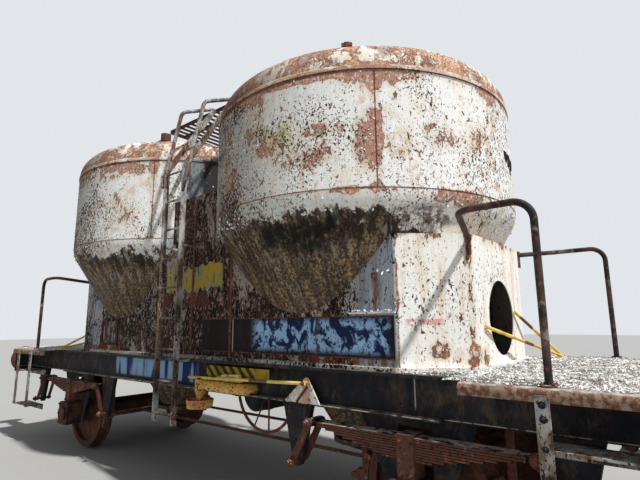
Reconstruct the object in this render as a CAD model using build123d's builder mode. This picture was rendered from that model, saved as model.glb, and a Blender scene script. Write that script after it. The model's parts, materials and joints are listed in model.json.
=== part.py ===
import os
from math import asin, atan, cos, pi, radians, sin, sqrt, tan

from build123d import *

os.makedirs("parts", exist_ok=True)

# Two axle silo wagon with two standing tanks. Millimetres, +X along the wagon, +Z up.
# The origin is midway between the axles, at the lowest point of the wheel flanges.
# The wagon is the same turned half round about Z, so its side gear is made once and turned.
ENDS = (1, -1)
SIDES = (1, -1)
FIT = 0.3

# Running gear, with the flange's profile in shares of its width and height
AXLE_AHEAD = 1020
TREAD_R = 460
FLANGE_H = 30
FLANGE_W = 32
FLANGE_SHAPE = ((0, 0.7), (0.35, 1), (0.7, 0.8), (1, 0.07))
TREAD_CONE = 5
WHEEL_W = 135
BACK_TO_BACK = 1360
RIM_IN_R = 392
WHEEL_WEB_T = 26
HUB_R = 130
HUB_OVERHANG = 22
AXLE_R = 80
WHEEL_SEAT_R = 92
JOURNAL_R = 60
JOURNAL_END_Y = 1082
SPRING_Y = 1000
AXLE_Z = TREAD_R + FLANGE_H
WHEEL_Y = BACK_TO_BACK / 2

# Underframe
DECK_Z = 1280
FLOOR_T = 10
DECK_AHEAD = 130
DECK_L = 1180
DECK_HALF_W = 1240
DECK_LIP = 70
DECK_LIP_R = 35
SOLE_WEB_Y = 980
SOLE_DEPTH = 270
SOLE_T = 12
SOLE_FLANGE_W = 75
SOLE_FLANGE_IN = 80
HEADSTOCK_W = 90
HEADSTOCK_H = 330
HEADSTOCK_HALF_W = 1200
HEADSTOCK_T = 14
BEARER_H = 190
BEARER_T = 60
BEARER_ROOM = (157.5, 77.5)
SILL_Y = 180
SILL_T = 14
FRAME_TOP = DECK_Z - FLOOR_T
SOLE_LOW = FRAME_TOP - SOLE_DEPTH
FLOOR_HALF_W = SOLE_WEB_Y + SOLE_FLANGE_W
SOLE_IN_Y = SOLE_WEB_Y - SOLE_T

# Tanks
TANK_R = 1450
TANK_GAP = 100
TANK_TOP_SEAM_H = 2245
CROWN_RISE = 485
CROWN_KNUCKLE_R = 280
CROWN_LIP_T = 6
CROWN_LIP_H = 34
CONE_CORNER_H = 1218
CONE_KNUCKLE_R = 250
CONE_END_Z = 578
CONE_END_R = 250
OUTLET_FLANGE_R = 310
OUTLET_FLANGE_T = 40
OUTLET_DISH_H = 90
NECK_R = 250
NECK_WALL = 12
NECK_RISE = 70
NECK_DEPTH = 300
LID_R = 285
LID_T = 14
LID_DISH = 45
HINGE_REACH = 330
HINGE_PIN_R = 12
HINGE_BARREL_R = 24
HINGE_BARREL_L = 90
HINGE_EAR_T = 14
HINGE_EAR_W = 56
HINGE_GAP = 5
PIN_PLAY = 0.5
TOP_VALVE_PLACE = (1550, 420)
TOP_VALVE_PIPE_R = 42
TOP_VALVE_RISE = 170
TOP_VALVE_BODY_R = 70
TOP_VALVE_BODY_H = 110
TOP_VALVE_ARM = 260
TOP_VALVE_BAR_R = 14

# Skirt under the tanks
SKIRT_Y = 950
SKIRT_END_ROOM = 38.75
SKIRT_BEVEL = 425
SKIRT_END_HALF_W = 530
SKIRT_H = 980
SKIRT_T = 8
PANEL_H = 1700
PANEL_HALF_W = 620
HOLE_HALF_W = 280
HOLE_HALF_H = 295
HOLE_H = 370
PLINTH_H = 26
PLINTH_W = 45
BAND_START_X = 200
BAND_END_IN = 10
BAND_H = (75, 388)
BAND_T = 3
PLACARD_X = (-1930, -1520)
PLACARD_H = (90, 380)
PLACARD_RAIL = 32
PLACARD_T = 14

# Ladders, walkway and handrails
LADDER_HALF_W = 160
LADDER_Y = 1220
LADDER_LOW = 690
LADDER_KINK = 3225
STILE_W = 60
STILE_T = 10
STILE_BEND_R = 120
RUNG_R = 10
RUNG_PITCH = 300
RUNG_COUNT = 9
RUNG_TOP = 3180
SLANT_RUNGS = (0.3, 0.6)
LADDER_STAYS = ((FRAME_TOP, FLOOR_HALF_W), (2400, SKIRT_Y))
WALK_LID_GAP = 65
WALK_HALF_W = 600
WALK_RISE = 170
WALK_RIM_H = 50
WALK_RIM_T = 8
WALK_BAR_T = 8
WALK_BAR_H = 30
WALK_BAR_COUNT = 21
WALK_LEG = 40
WALK_LEG_IN = 500
WALK_LEG_Y = 400
PIPE_R = 21
HOOP_X = 205
HOOP_LOW = (1240, 3050)
HOOP_BEND_Y = 1045
HOOP_BEND_DROP = 195
HOOP_STUB_Z = 3120
RAIL_AHEAD = 470
RAIL_Y = 1157
RAIL_H = 1010
RAIL_BEND_AHEAD = 160
RAIL_END_SHARE = 0.95
RAIL_BEND_R = 120
RAIL_END_DROP = 45
RAIL_END_OFF = 8

# Springs and axle guides
EYE_REACH = 808
EYE_R = 32
EYE_PIN_R = 18
LEAF_T = 16
LEAF_W = 120
LEAF_TOP = 890
LEAF_HALF_L = (808, 745, 665, 585, 505, 425, 345, 265, 185)
BUCKLE_L = 120
BUCKLE_WALL = 14
LINK_DROP = 300
LINK_REACH = 169
LINK_W = 52
LINK_T = 18
LINK_PLAY = 4
HANGER_TOP_L = 300
HANGER_BOSS_R = 46
HANGER_T = 44
BOX_HALF_L = 125
BOX_HALF_H = 140
BOX_IN_Y = 905
BOX_OUT_Y = 1112
BOX_CORNER = 27
BOX_COVER_R = 96
BOX_COVER_T = 22
GUARD_Y = 918
GUARD_T = 16
GUARD_TOP_HALF = 430
GUARD_LEG = 75
GUARD_LOW = 330
GUARD_ARCH = 930
GUARD_RISE = 74

# Brakes and air
SHOE_GAP = 9
SHOE_T = 55
SHOE_W = 80
SHOE_HALF_ANGLE = 20
HOLDER_T = 50
BRAKE_BEAM_R = 26
BRAKE_HANGER_W = 50
BRAKE_HANGER_T = 14
BRAKE_ROD_R = 16
BRAKE_ROD_Y = 340
CYLINDER_R = 150
CYLINDER_L = 420
CYLINDER_X = -480
CYLINDER_Y = 420
CYLINDER_Z = 960
RESERVOIR_R = 160
RESERVOIR_END_R = 50
RESERVOIR_L = 900
RESERVOIR_X = 380
RESERVOIR_Z = 880
STRAP_W = 40
STRAP_T = 6

# Side gear
PIPE_OUT_R = 45
PIPE_OUT_OFF = 55
PIPE_OUT_Y = FLOOR_HALF_W + PIPE_OUT_OFF
PIPE_OUT_Z = 1062
PIPE_OUT_X = (455, 1000)
PIPE_HOLE_GAP = 5
PIPE_TURN_GAP = 120
VALVE_X = 405
VALVE_Z = (860, 960, 1010, 1110)
VALVE_R = (32, 50)
CUP_R = 115
CUP_H = 75
CUP_WALL = 12
LEVER_R = 13
LEVER_X = (222, 1700)
LEVER_END_Z = 1166
GUSSET_X = (1432, 1670, 1800)
GUSSET_H = 190
GUSSET_T = 10
END_BAR_R = 13
END_BAR_TOPS = ((-407, 302), (284, 417))
END_BAR_REACH = 191
END_BAR_FOOT_Y = 1007
HOOP_GUARD_X = 1060
HOOP_GUARD_R = 345
HOOP_GUARD_Z = 1045
HOOP_GUARD_Y = 905
STRIPE_X = (430, 1262)
STRIPE_Z = (1142, 1238)
STRIPE_T = 6
STRIPE_LUG = 30
STRIPE_LUG_X = (560, 1180)
WEDGE = ((480, 1108), (700, 1168), (915, 1180), (940, 1113))
WEDGE_T = 30

# Buffers and draw gear
BUFFER_Y = 875
BUFFER_Z = 1080
BUFFER_FACE = 620
BUFFER_PLATE = 300
BUFFER_PLATE_T = 20
BUFFER_TUBE_R = 100
BUFFER_TUBE_L = 300
PLUNGER_R = 82
HEAD_R = 200
HEAD_T = 32
HEAD_BEVEL = 11
HOOK_PLATE_H = 200
HOOK_L = 240
HOOK_T = 60
HOOK_R = 85
HOOK_THROAT_R = 35
LINK_PIN_R = 20
LINK_PIN_X = 130
LINK_BAR_W = 68
LINK_BAR_T = 16
LINK_BAR_L = 250
LINK_BAR_Y = 52
COUPLING_SCREW_R = 20
COUPLING_SCREW_L = 170
COUPLING_NUT_R = 28
SHACKLE_R = 15
SHACKLE_L = 210
STEP_IN = (730, 270)
STEP_Z = (505, 980)
STEP_ROOM = 18
STEP_STRAP_W = 70
STEP_STRAP_T = 12

# Derived tank shape
TANK_X = TANK_R + TANK_GAP / 2
CROWN_IN = TANK_R - CROWN_KNUCKLE_R
CROWN_R = (CROWN_IN**2 + CROWN_RISE**2 - CROWN_KNUCKLE_R**2) / (2 * (CROWN_RISE - CROWN_KNUCKLE_R))
TOP_SEAM_Z = DECK_Z + TANK_TOP_SEAM_H
TANK_TOP = TOP_SEAM_Z + CROWN_RISE
WALK_Z = TANK_TOP + WALK_RISE
HOOP_BEND_Z = WALK_Z - HOOP_BEND_DROP
NECK_TOP = TANK_TOP + NECK_RISE
CROWN_CENTRE = TANK_TOP - CROWN_R
CONE_ANGLE = atan((DECK_Z + CONE_CORNER_H - CONE_END_Z) / (TANK_R - CONE_END_R))
KNUCKLE_TANGENT = CONE_KNUCKLE_R * tan((pi / 2 - CONE_ANGLE) / 2)
LOW_SEAM_Z = DECK_Z + CONE_CORNER_H + KNUCKLE_TANGENT
OUTLET_LOW = CONE_END_Z - OUTLET_FLANGE_T
LID_Z = NECK_TOP + FIT
PIN_Z = LID_Z + LID_T / 2


def crown_z(radius):
    """Height of the crown's surface at a radius from the tank's axis."""
    return CROWN_CENTRE + sqrt(CROWN_R**2 - radius**2)


def cone_radius(height):
    """Radius of the cone's surface at a height."""
    return CONE_END_R + (height - CONE_END_Z) / tan(CONE_ANGLE)


# Derived places along the wagon, from the tanks outwards
SKIRT_TOP = DECK_Z + SKIRT_H
SKIRT_END_X = TANK_X + cone_radius(SKIRT_TOP) + SKIRT_END_ROOM
SKIRT_CORNER_X = SKIRT_END_X - SKIRT_BEVEL
BAND_END_X = SKIRT_CORNER_X - BAND_END_IN
SOLE_FLANGE_X = SKIRT_END_X - SOLE_FLANGE_IN
BEARER_X = (0, TANK_X - cone_radius(FRAME_TOP) - BEARER_ROOM[0], TANK_X + cone_radius(FRAME_TOP) + BEARER_ROOM[1])
AXLE_X = TANK_X + AXLE_AHEAD
DECK_START_X = SKIRT_END_X + DECK_AHEAD
HEADSTOCK_X = DECK_START_X + DECK_L
STEP_X = (HEADSTOCK_X - STEP_IN[0], HEADSTOCK_X - STEP_IN[1])
RAIL_X = DECK_START_X + RAIL_AHEAD
RAIL_BEND_X = SKIRT_END_X + RAIL_BEND_AHEAD
RAIL_END_X = SKIRT_CORNER_X + RAIL_END_SHARE * SKIRT_BEVEL
END_BAR_FOOT_X = SKIRT_END_X + END_BAR_REACH
WALK_HALF_L = TANK_X - LID_R - WALK_LID_GAP
WALK_LEG_X = TANK_X - WALK_LEG_IN


def upright(x=0, y=0):
    """Plane through a point, local x along X and local y along Z, facing -Y."""
    return Plane(origin=(x, y, 0), x_dir=(1, 0, 0), z_dir=(0, -1, 0))


def across(x=0):
    """Plane at a station along the wagon, local x along Y and local y along Z, facing +X."""
    return Plane(origin=(x, 0, 0), x_dir=(0, 1, 0), z_dir=(1, 0, 0))


def tank_line(gap=0, neck=True):
    """Half outline of a tank, from its axis at the top round to its axis at the outlet."""
    lean = asin(CROWN_IN / (CROWN_R - CROWN_KNUCKLE_R))
    crown_end = (CROWN_R * sin(lean) + gap, CROWN_CENTRE + CROWN_R * cos(lean))
    top_seam = (TANK_R + gap, TOP_SEAM_Z)
    lip_out = (TANK_R + CROWN_LIP_T + gap, TOP_SEAM_Z - CROWN_LIP_T)
    lip_low = (TANK_R + CROWN_LIP_T + gap, TOP_SEAM_Z - CROWN_LIP_H)
    lip_in = (TANK_R + gap, TOP_SEAM_Z - CROWN_LIP_H)
    low_seam = (TANK_R + gap, LOW_SEAM_Z)
    cone_start = (
        TANK_R - KNUCKLE_TANGENT * cos(CONE_ANGLE) + gap,
        LOW_SEAM_Z - KNUCKLE_TANGENT * (1 + sin(CONE_ANGLE)),
    )
    cone_end = (CONE_END_R + gap, CONE_END_Z)
    dish = (CONE_END_R, OUTLET_LOW)
    bottom = (0, OUTLET_LOW - OUTLET_DISH_H)
    crown_start = (NECK_R, crown_z(NECK_R)) if neck else (0, TANK_TOP)
    with BuildLine() as line:
        if neck:
            bore = NECK_R - NECK_WALL
            floor = TANK_TOP - NECK_DEPTH
            Polyline(bottom, (0, floor), (bore, floor), (bore, NECK_TOP), (NECK_R, NECK_TOP), crown_start)
        else:
            Line(bottom, crown_start)
        RadiusArc(crown_start, crown_end, CROWN_R)
        RadiusArc(crown_end, top_seam, CROWN_KNUCKLE_R)
        Polyline(top_seam, lip_out, lip_low, lip_in, low_seam)
        RadiusArc(low_seam, cone_start, CONE_KNUCKLE_R)
        Line(cone_start, cone_end)
        Polyline(cone_end, (OUTLET_FLANGE_R, CONE_END_Z), (OUTLET_FLANGE_R, OUTLET_LOW), dish)
        RadiusArc(dish, bottom, (CONE_END_R**2 + OUTLET_DISH_H**2) / (2 * OUTLET_DISH_H))
    return line.line


def tank_body(x, gap=0, neck=True):
    """A tank turned from its outline at a station along the wagon."""
    with BuildPart() as body:
        with BuildSketch(upright(x)):
            with BuildLine():
                add(tank_line(gap, neck))
            make_face()
        revolve(axis=Axis((x, 0, 0), (0, 0, 1)))
    return body.part


# The space that each tank takes, with a fitting gap, for cutting the plates round it
TANK_SPACES = [tank_body(end * TANK_X, FIT, False) for end in ENDS]


def make_tank(end):
    """Tank with its manhole neck and the ears and pin of the lid's hinge."""
    hinge_x = end * (TANK_X + HINGE_REACH)
    ear_y = HINGE_BARREL_L / 2 + HINGE_GAP + HINGE_EAR_T / 2
    ear_low = crown_z(HINGE_REACH) - FLOOR_T
    ear_high = PIN_Z + HINGE_BARREL_R
    with BuildPart() as tank:
        add(tank_body(end * TANK_X))
        for side in SIDES:
            with Locations((hinge_x, side * ear_y, (ear_low + ear_high) / 2)):
                Box(HINGE_EAR_W, HINGE_EAR_T, ear_high - ear_low)
        with BuildSketch(upright(hinge_x, ear_y)):
            with Locations((0, PIN_Z)):
                Circle(HINGE_PIN_R)
        extrude(amount=2 * ear_y)
    return tank


def make_lid(end):
    """Dished lid with its arm and hinge barrel, closed."""
    hinge_x = end * (TANK_X + HINGE_REACH)
    arm_l = HINGE_REACH - LID_R / 2
    with BuildPart() as lid:
        with BuildSketch(upright(end * TANK_X)):
            with BuildLine():
                Polyline((0, LID_Z + LID_T + LID_DISH), (0, LID_Z), (LID_R, LID_Z), (LID_R, LID_Z + LID_T))
                RadiusArc((LID_R, LID_Z + LID_T), (0, LID_Z + LID_T + LID_DISH),
                          -(LID_R**2 + LID_DISH**2) / (2 * LID_DISH))
            make_face()
        revolve(axis=Axis((end * TANK_X, 0, 0), (0, 0, 1)))
        with Locations((hinge_x - end * arm_l / 2, 0, LID_Z + LID_T / 2)):
            Box(arm_l, HINGE_BARREL_L, LID_T)
        with BuildSketch(upright(hinge_x, HINGE_BARREL_L / 2)):
            with Locations((0, PIN_Z)):
                Circle(HINGE_BARREL_R)
        extrude(amount=HINGE_BARREL_L)
        with BuildSketch(upright(hinge_x, HINGE_BARREL_L / 2)):
            with Locations((0, PIN_Z)):
                Circle(HINGE_PIN_R + PIN_PLAY)
        extrude(amount=HINGE_BARREL_L, mode=Mode.SUBTRACT)
    return lid


tank_1 = make_tank(1)
tank_2 = make_tank(-1)
lid_1 = make_lid(1)
lid_2 = make_lid(-1)

# Skirt: two side walls that the cones break through, two bent end walls with a round hole
SKIRT_PLAN = (
    (SKIRT_CORNER_X, -SKIRT_Y),
    (SKIRT_END_X, -SKIRT_END_HALF_W),
    (SKIRT_END_X, SKIRT_END_HALF_W),
    (SKIRT_CORNER_X, SKIRT_Y),
    (-SKIRT_CORNER_X, SKIRT_Y),
    (-SKIRT_END_X, SKIRT_END_HALF_W),
    (-SKIRT_END_X, -SKIRT_END_HALF_W),
    (-SKIRT_CORNER_X, -SKIRT_Y),
)

with BuildPart() as skirt_sides:
    with BuildSketch(upright(0, -SKIRT_Y + SKIRT_T)):
        Polygon(
            (-SKIRT_CORNER_X, DECK_Z),
            (SKIRT_CORNER_X, DECK_Z),
            (SKIRT_CORNER_X, SKIRT_TOP),
            (PANEL_HALF_W, SKIRT_TOP),
            (PANEL_HALF_W, DECK_Z + PANEL_H),
            (-PANEL_HALF_W, DECK_Z + PANEL_H),
            (-PANEL_HALF_W, SKIRT_TOP),
            (-SKIRT_CORNER_X, SKIRT_TOP),
            align=None,
        )
    extrude(amount=SKIRT_T)
    for space in TANK_SPACES:
        add(space, mode=Mode.SUBTRACT)
    mirror(about=Plane.XZ)

with BuildPart() as skirt_ends:
    with BuildSketch(Plane.XY.offset(DECK_Z)):
        Polygon(*SKIRT_PLAN, align=None)
        offset(amount=-SKIRT_T, kind=Kind.INTERSECTION, mode=Mode.SUBTRACT)
        Rectangle(2 * SKIRT_CORNER_X, 4 * SKIRT_Y, mode=Mode.SUBTRACT)
    extrude(amount=SKIRT_H)
    with BuildSketch(across()):
        with Locations((0, DECK_Z + HOLE_H)):
            Ellipse(HOLE_HALF_W, HOLE_HALF_H)
    extrude(amount=2 * SKIRT_END_X, both=True, mode=Mode.SUBTRACT)

with BuildPart() as skirt_cover:
    with BuildSketch(Plane.XY.offset(SKIRT_TOP - SKIRT_T)):
        Polygon(*SKIRT_PLAN, align=None)
        offset(amount=-SKIRT_T, kind=Kind.INTERSECTION, mode=Mode.REPLACE)
    extrude(amount=SKIRT_T)
    for space in TANK_SPACES:
        add(space, mode=Mode.SUBTRACT)

with BuildPart() as skirt_plinth:
    with BuildSketch(Plane.XY.offset(DECK_Z)):
        Polygon(*SKIRT_PLAN, align=None)
        offset(amount=PLINTH_W, kind=Kind.INTERSECTION, mode=Mode.REPLACE)
        Polygon(*SKIRT_PLAN, align=None, mode=Mode.SUBTRACT)
    extrude(amount=PLINTH_H)

with BuildPart() as number_panels:
    with BuildSketch(upright(0, -SKIRT_Y)):
        with Locations(((BAND_START_X + BAND_END_X) / 2, DECK_Z + sum(BAND_H) / 2)):
            Rectangle(BAND_END_X - BAND_START_X, BAND_H[1] - BAND_H[0])
    extrude(amount=BAND_T)
    for space in TANK_SPACES:
        add(space, mode=Mode.SUBTRACT)
    add(number_panels.part.rotate(Axis.Z, 180))

# Holders for a paper card, an open frame with a back plate, on both side walls
placard_x = sum(PLACARD_X) / 2
placard_z = DECK_Z + sum(PLACARD_H) / 2
placard_w = PLACARD_X[1] - PLACARD_X[0]
placard_h = PLACARD_H[1] - PLACARD_H[0]
with BuildPart() as placard_frame:
    with BuildSketch(upright(placard_x, -SKIRT_Y)):
        with Locations((0, placard_z)):
            Rectangle(placard_w, placard_h)
    extrude(amount=PLACARD_T)
    with BuildSketch(upright(placard_x, -SKIRT_Y - BAND_T)):
        with Locations((0, placard_z + PLACARD_RAIL)):
            Rectangle(placard_w - 2 * PLACARD_RAIL, placard_h)
    extrude(amount=PLACARD_T, mode=Mode.SUBTRACT)
    for space in TANK_SPACES:
        add(space, mode=Mode.SUBTRACT)

with BuildPart() as placard_frames:
    with PolarLocations(0, 2):
        add(placard_frame.part)

# Floor and decks
with BuildPart() as floor_plate:
    with BuildSketch(Plane.XY.offset(FRAME_TOP)):
        Rectangle(2 * DECK_START_X, 2 * FLOOR_HALF_W)
    extrude(amount=FLOOR_T)
    for space in TANK_SPACES:
        add(space, mode=Mode.SUBTRACT)

with BuildPart() as deck_plates:
    with BuildSketch(across(DECK_START_X)):
        with Locations((0, DECK_Z - DECK_LIP / 2)):
            lip_block = Rectangle(2 * DECK_HALF_W, DECK_LIP)
        fillet(lip_block.vertices().group_by(Axis.Y)[-1], DECK_LIP_R)
        with BuildSketch(across(), mode=Mode.PRIVATE) as under_deck:
            with Locations((0, DECK_Z - FLOOR_T - DECK_LIP / 2)):
                inner_block = Rectangle(2 * (DECK_HALF_W - FLOOR_T), DECK_LIP)
            fillet(inner_block.vertices().group_by(Axis.Y)[-1], DECK_LIP_R - FLOOR_T)
        add(under_deck.sketch_local, mode=Mode.SUBTRACT)
    extrude(amount=HEADSTOCK_X - DECK_START_X)
    mirror(about=Plane.YZ)

# Frame
sole_half_l = HEADSTOCK_X - HEADSTOCK_W
with BuildPart() as sole_bar:
    with BuildSketch(upright(0, -SOLE_IN_Y)):
        with Locations((0, FRAME_TOP - SOLE_DEPTH / 2)):
            Rectangle(2 * sole_half_l, SOLE_DEPTH)
        with Locations((PIPE_OUT_X[1], PIPE_OUT_Z)):
            Circle(PIPE_OUT_R + PIPE_HOLE_GAP, mode=Mode.SUBTRACT)
    extrude(amount=SOLE_T)
    for flange_z in (FRAME_TOP - SOLE_T / 2, SOLE_LOW + SOLE_T / 2):
        with Locations((0, -(SOLE_IN_Y + FLOOR_HALF_W) / 2, flange_z)):
            Box(2 * SOLE_FLANGE_X, FLOOR_HALF_W - SOLE_IN_Y, SOLE_T)

with BuildPart() as sole_bars:
    with PolarLocations(0, 2):
        add(sole_bar.part)

with BuildPart() as headstocks:
    with BuildSketch(upright(HEADSTOCK_X - HEADSTOCK_W, HEADSTOCK_HALF_W)):
        with Locations((HEADSTOCK_W / 2, FRAME_TOP - HEADSTOCK_H / 2)):
            Rectangle(HEADSTOCK_W, HEADSTOCK_H)
        with Locations((HEADSTOCK_W / 2 - HEADSTOCK_T, FRAME_TOP - HEADSTOCK_H / 2)):
            Rectangle(HEADSTOCK_W, HEADSTOCK_H - 2 * HEADSTOCK_T, mode=Mode.SUBTRACT)
    extrude(amount=2 * HEADSTOCK_HALF_W)
    mirror(about=Plane.YZ)

with BuildPart() as cross_bearers:
    for x in BEARER_X:
        with Locations((x, 0, FRAME_TOP - BEARER_H / 2)):
            Box(BEARER_T, 2 * SOLE_IN_Y, BEARER_H)
    mirror(about=Plane.YZ)

sill_start = BEARER_X[-1] + BEARER_T / 2
sill_l = HEADSTOCK_X - HEADSTOCK_W - sill_start
with BuildPart() as draft_sills:
    for side in SIDES:
        with Locations((sill_start + sill_l / 2, side * SILL_Y, FRAME_TOP - BEARER_H / 2)):
            Box(sill_l, SILL_T, BEARER_H)
    mirror(about=Plane.YZ)

# Ladders on both sides, standing off the frame, leaning in to the walkway at the top
ladder_kink = (-LADDER_Y, LADDER_KINK)
ladder_head = (-WALK_HALF_W - STILE_W / 2, WALK_Z - WALK_RIM_H / 2)
slant = Vector(*ladder_head) - Vector(*ladder_kink)
rung_places = [(-LADDER_Y, RUNG_TOP - step * RUNG_PITCH) for step in range(RUNG_COUNT)]
rung_places += [(ladder_kink[0] + share * slant.X, ladder_kink[1] + share * slant.Y) for share in SLANT_RUNGS]

with BuildPart() as stile_pair:
    for x in (-LADDER_HALF_W, LADDER_HALF_W):
        with BuildLine(across(x)) as stile_line:
            FilletPolyline((-LADDER_Y, LADDER_LOW), ladder_kink, ladder_head, radius=STILE_BEND_R)
        with BuildSketch(Plane(origin=(x, -LADDER_Y, LADDER_LOW), x_dir=(1, 0, 0), z_dir=(0, 0, 1))):
            Rectangle(STILE_T, STILE_W)
        sweep(path=stile_line.line)
        for stay_z, back_y in LADDER_STAYS:
            with Locations((x, -(back_y + LADDER_Y) / 2, stay_z)):
                Box(STILE_T, LADDER_Y - back_y, 2 * STILE_T)

with BuildPart() as ladder_stiles:
    with PolarLocations(0, 2):
        add(stile_pair.part)

rung_half_l = LADDER_HALF_W - STILE_T / 2
with BuildPart() as rung_set:
    with BuildSketch(across(-rung_half_l)):
        with Locations(*rung_places):
            Circle(RUNG_R)
    extrude(amount=2 * rung_half_l)

with BuildPart() as ladder_rungs:
    with PolarLocations(0, 2):
        add(rung_set.part)

# Grab hoops beside the ladders' heads, from the stiles up to the edge of the walkway
hoop_head = (-WALK_HALF_W - PIPE_R, WALK_Z - PIPE_R)
with BuildPart() as hoop_pair:
    for end in ENDS:
        hoop_x = end * HOOP_X
        with BuildLine(across(hoop_x)) as hoop_line:
            FilletPolyline(
                (-HOOP_LOW[0], HOOP_LOW[1]),
                (-HOOP_BEND_Y, HOOP_BEND_Z),
                (hoop_head[0] - 2 * PIPE_R, hoop_head[1]),
                radius=2 * STILE_W,
            )
            Line((hoop_head[0] - 2 * PIPE_R, hoop_head[1]), (-WALK_HALF_W, hoop_head[1]))
        with BuildSketch(Plane(origin=hoop_line.line @ 0, z_dir=hoop_line.line % 0)):
            Circle(PIPE_R)
        sweep(path=hoop_line.line, transition=Transition.RIGHT)
        stub_l = HOOP_X - LADDER_HALF_W - STILE_T / 2
        with BuildSketch(across(end * (LADDER_HALF_W + STILE_T / 2))):
            with Locations((-LADDER_Y, HOOP_STUB_Z)):
                Circle(RUNG_R)
        extrude(amount=end * stub_l)

with BuildPart() as ladder_hoops:
    with PolarLocations(0, 2):
        add(hoop_pair.part)

# Walkway across the tank tops, a rim with cross bars on four legs that stand on the crowns
with BuildPart() as walkway:
    with BuildSketch(Plane.XY.offset(WALK_Z - WALK_RIM_H)):
        Rectangle(2 * WALK_HALF_L, 2 * WALK_HALF_W)
        offset(amount=-WALK_RIM_T, kind=Kind.INTERSECTION, mode=Mode.SUBTRACT)
    extrude(amount=WALK_RIM_H)
    with Locations((0, 0, WALK_Z - WALK_BAR_H / 2)):
        with GridLocations(2 * WALK_HALF_L / (WALK_BAR_COUNT + 1), 0, WALK_BAR_COUNT, 1):
            Box(WALK_BAR_T, 2 * (WALK_HALF_W - WALK_RIM_T / 2), WALK_BAR_H)
    with Locations((0, 0, WALK_Z - WALK_BAR_H)):
        with GridLocations(0, 2 * WALK_LEG_Y, 1, 2):
            Box(2 * WALK_HALF_L - WALK_RIM_T, WALK_BAR_T, WALK_BAR_H)

leg_r = sqrt((TANK_X - WALK_LEG_X + WALK_LEG / 2) ** 2 + (WALK_LEG_Y + WALK_LEG / 2) ** 2)
leg_low = crown_z(leg_r)
leg_high = WALK_Z - WALK_BAR_H - WALK_BAR_H / 2 - FIT
with BuildPart() as walkway_legs:
    with Locations((0, 0, (leg_low + leg_high) / 2)):
        with GridLocations(2 * WALK_LEG_X, 2 * WALK_LEG_Y, 2, 2):
            Box(WALK_LEG, WALK_LEG, leg_high - leg_low)
    for space in TANK_SPACES:
        add(space.moved(Location((0, 0, FIT))), mode=Mode.SUBTRACT)

# Filling valves on the crowns, an upright pipe, a round body and a slanted hand bar
valve_seat_r = sqrt((TOP_VALVE_PLACE[0] - TANK_X) ** 2 + TOP_VALVE_PLACE[1] ** 2)
valve_low = crown_z(valve_seat_r + TOP_VALVE_PIPE_R)
valve_body_z = TANK_TOP + TOP_VALVE_RISE
with BuildPart() as top_valve:
    with BuildSketch(Plane.XY.offset(valve_low)):
        with Locations(TOP_VALVE_PLACE):
            Circle(TOP_VALVE_PIPE_R)
    extrude(amount=valve_body_z - valve_low)
    with BuildSketch(Plane.XY.offset(valve_body_z)):
        with Locations(TOP_VALVE_PLACE):
            Circle(TOP_VALVE_BODY_R)
    extrude(amount=TOP_VALVE_BODY_H)
    with BuildSketch(across(TOP_VALVE_PLACE[0])):
        with Locations((TOP_VALVE_PLACE[1], valve_body_z + TOP_VALVE_BODY_H / 2)):
            Circle(TOP_VALVE_BAR_R)
    extrude(amount=TOP_VALVE_ARM)
    add(TANK_SPACES[0].moved(Location((0, 0, FIT))), mode=Mode.SUBTRACT)

with BuildPart() as top_valves:
    with PolarLocations(0, 2):
        add(top_valve.part)

# Handrails over the end decks, one pipe at each corner
rail_top = DECK_Z + RAIL_H
with BuildPart() as handrails:
    rail_turn = (RAIL_BEND_X, -RAIL_Y, rail_top)
    facet_y = SKIRT_Y - RAIL_END_SHARE * (SKIRT_Y - SKIRT_END_HALF_W)
    with BuildLine() as rail_line:
        FilletPolyline(
            (RAIL_X, -RAIL_Y, DECK_Z),
            (RAIL_X, -RAIL_Y, rail_top),
            rail_turn,
            (RAIL_END_X + RAIL_END_OFF, -facet_y - RAIL_END_OFF, SKIRT_TOP - RAIL_END_DROP),
            radius=RAIL_BEND_R,
        )
    with BuildSketch(Plane.XY.offset(DECK_Z)):
        with Locations((RAIL_X, -RAIL_Y)):
            Circle(PIPE_R)
    sweep(path=rail_line.line)
    mirror(about=Plane.XZ)
    mirror(about=Plane.YZ)

def make_axle(end):
    """Axle with journals at its ends and raised seats for the wheels."""
    seat_in = WHEEL_Y - HUB_OVERHANG
    seat_out = WHEEL_Y + WHEEL_W + HUB_OVERHANG
    with BuildPart() as axle:
        with BuildSketch(Plane(origin=(end * AXLE_X, 0, AXLE_Z), x_dir=(0, 1, 0), z_dir=(0, 0, 1))):
            with BuildLine():
                Polyline(
                    (-JOURNAL_END_Y, 0),
                    (-JOURNAL_END_Y, JOURNAL_R),
                    (-seat_out, JOURNAL_R),
                    (-seat_out, WHEEL_SEAT_R),
                    (-seat_in, WHEEL_SEAT_R),
                    (-seat_in, AXLE_R),
                    (seat_in, AXLE_R),
                    (seat_in, WHEEL_SEAT_R),
                    (seat_out, WHEEL_SEAT_R),
                    (seat_out, JOURNAL_R),
                    (JOURNAL_END_Y, JOURNAL_R),
                    (JOURNAL_END_Y, 0),
                    close=True,
                )
            make_face()
        revolve(axis=Axis((end * AXLE_X, 0, AXLE_Z), (0, 1, 0)))
    return axle


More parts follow.
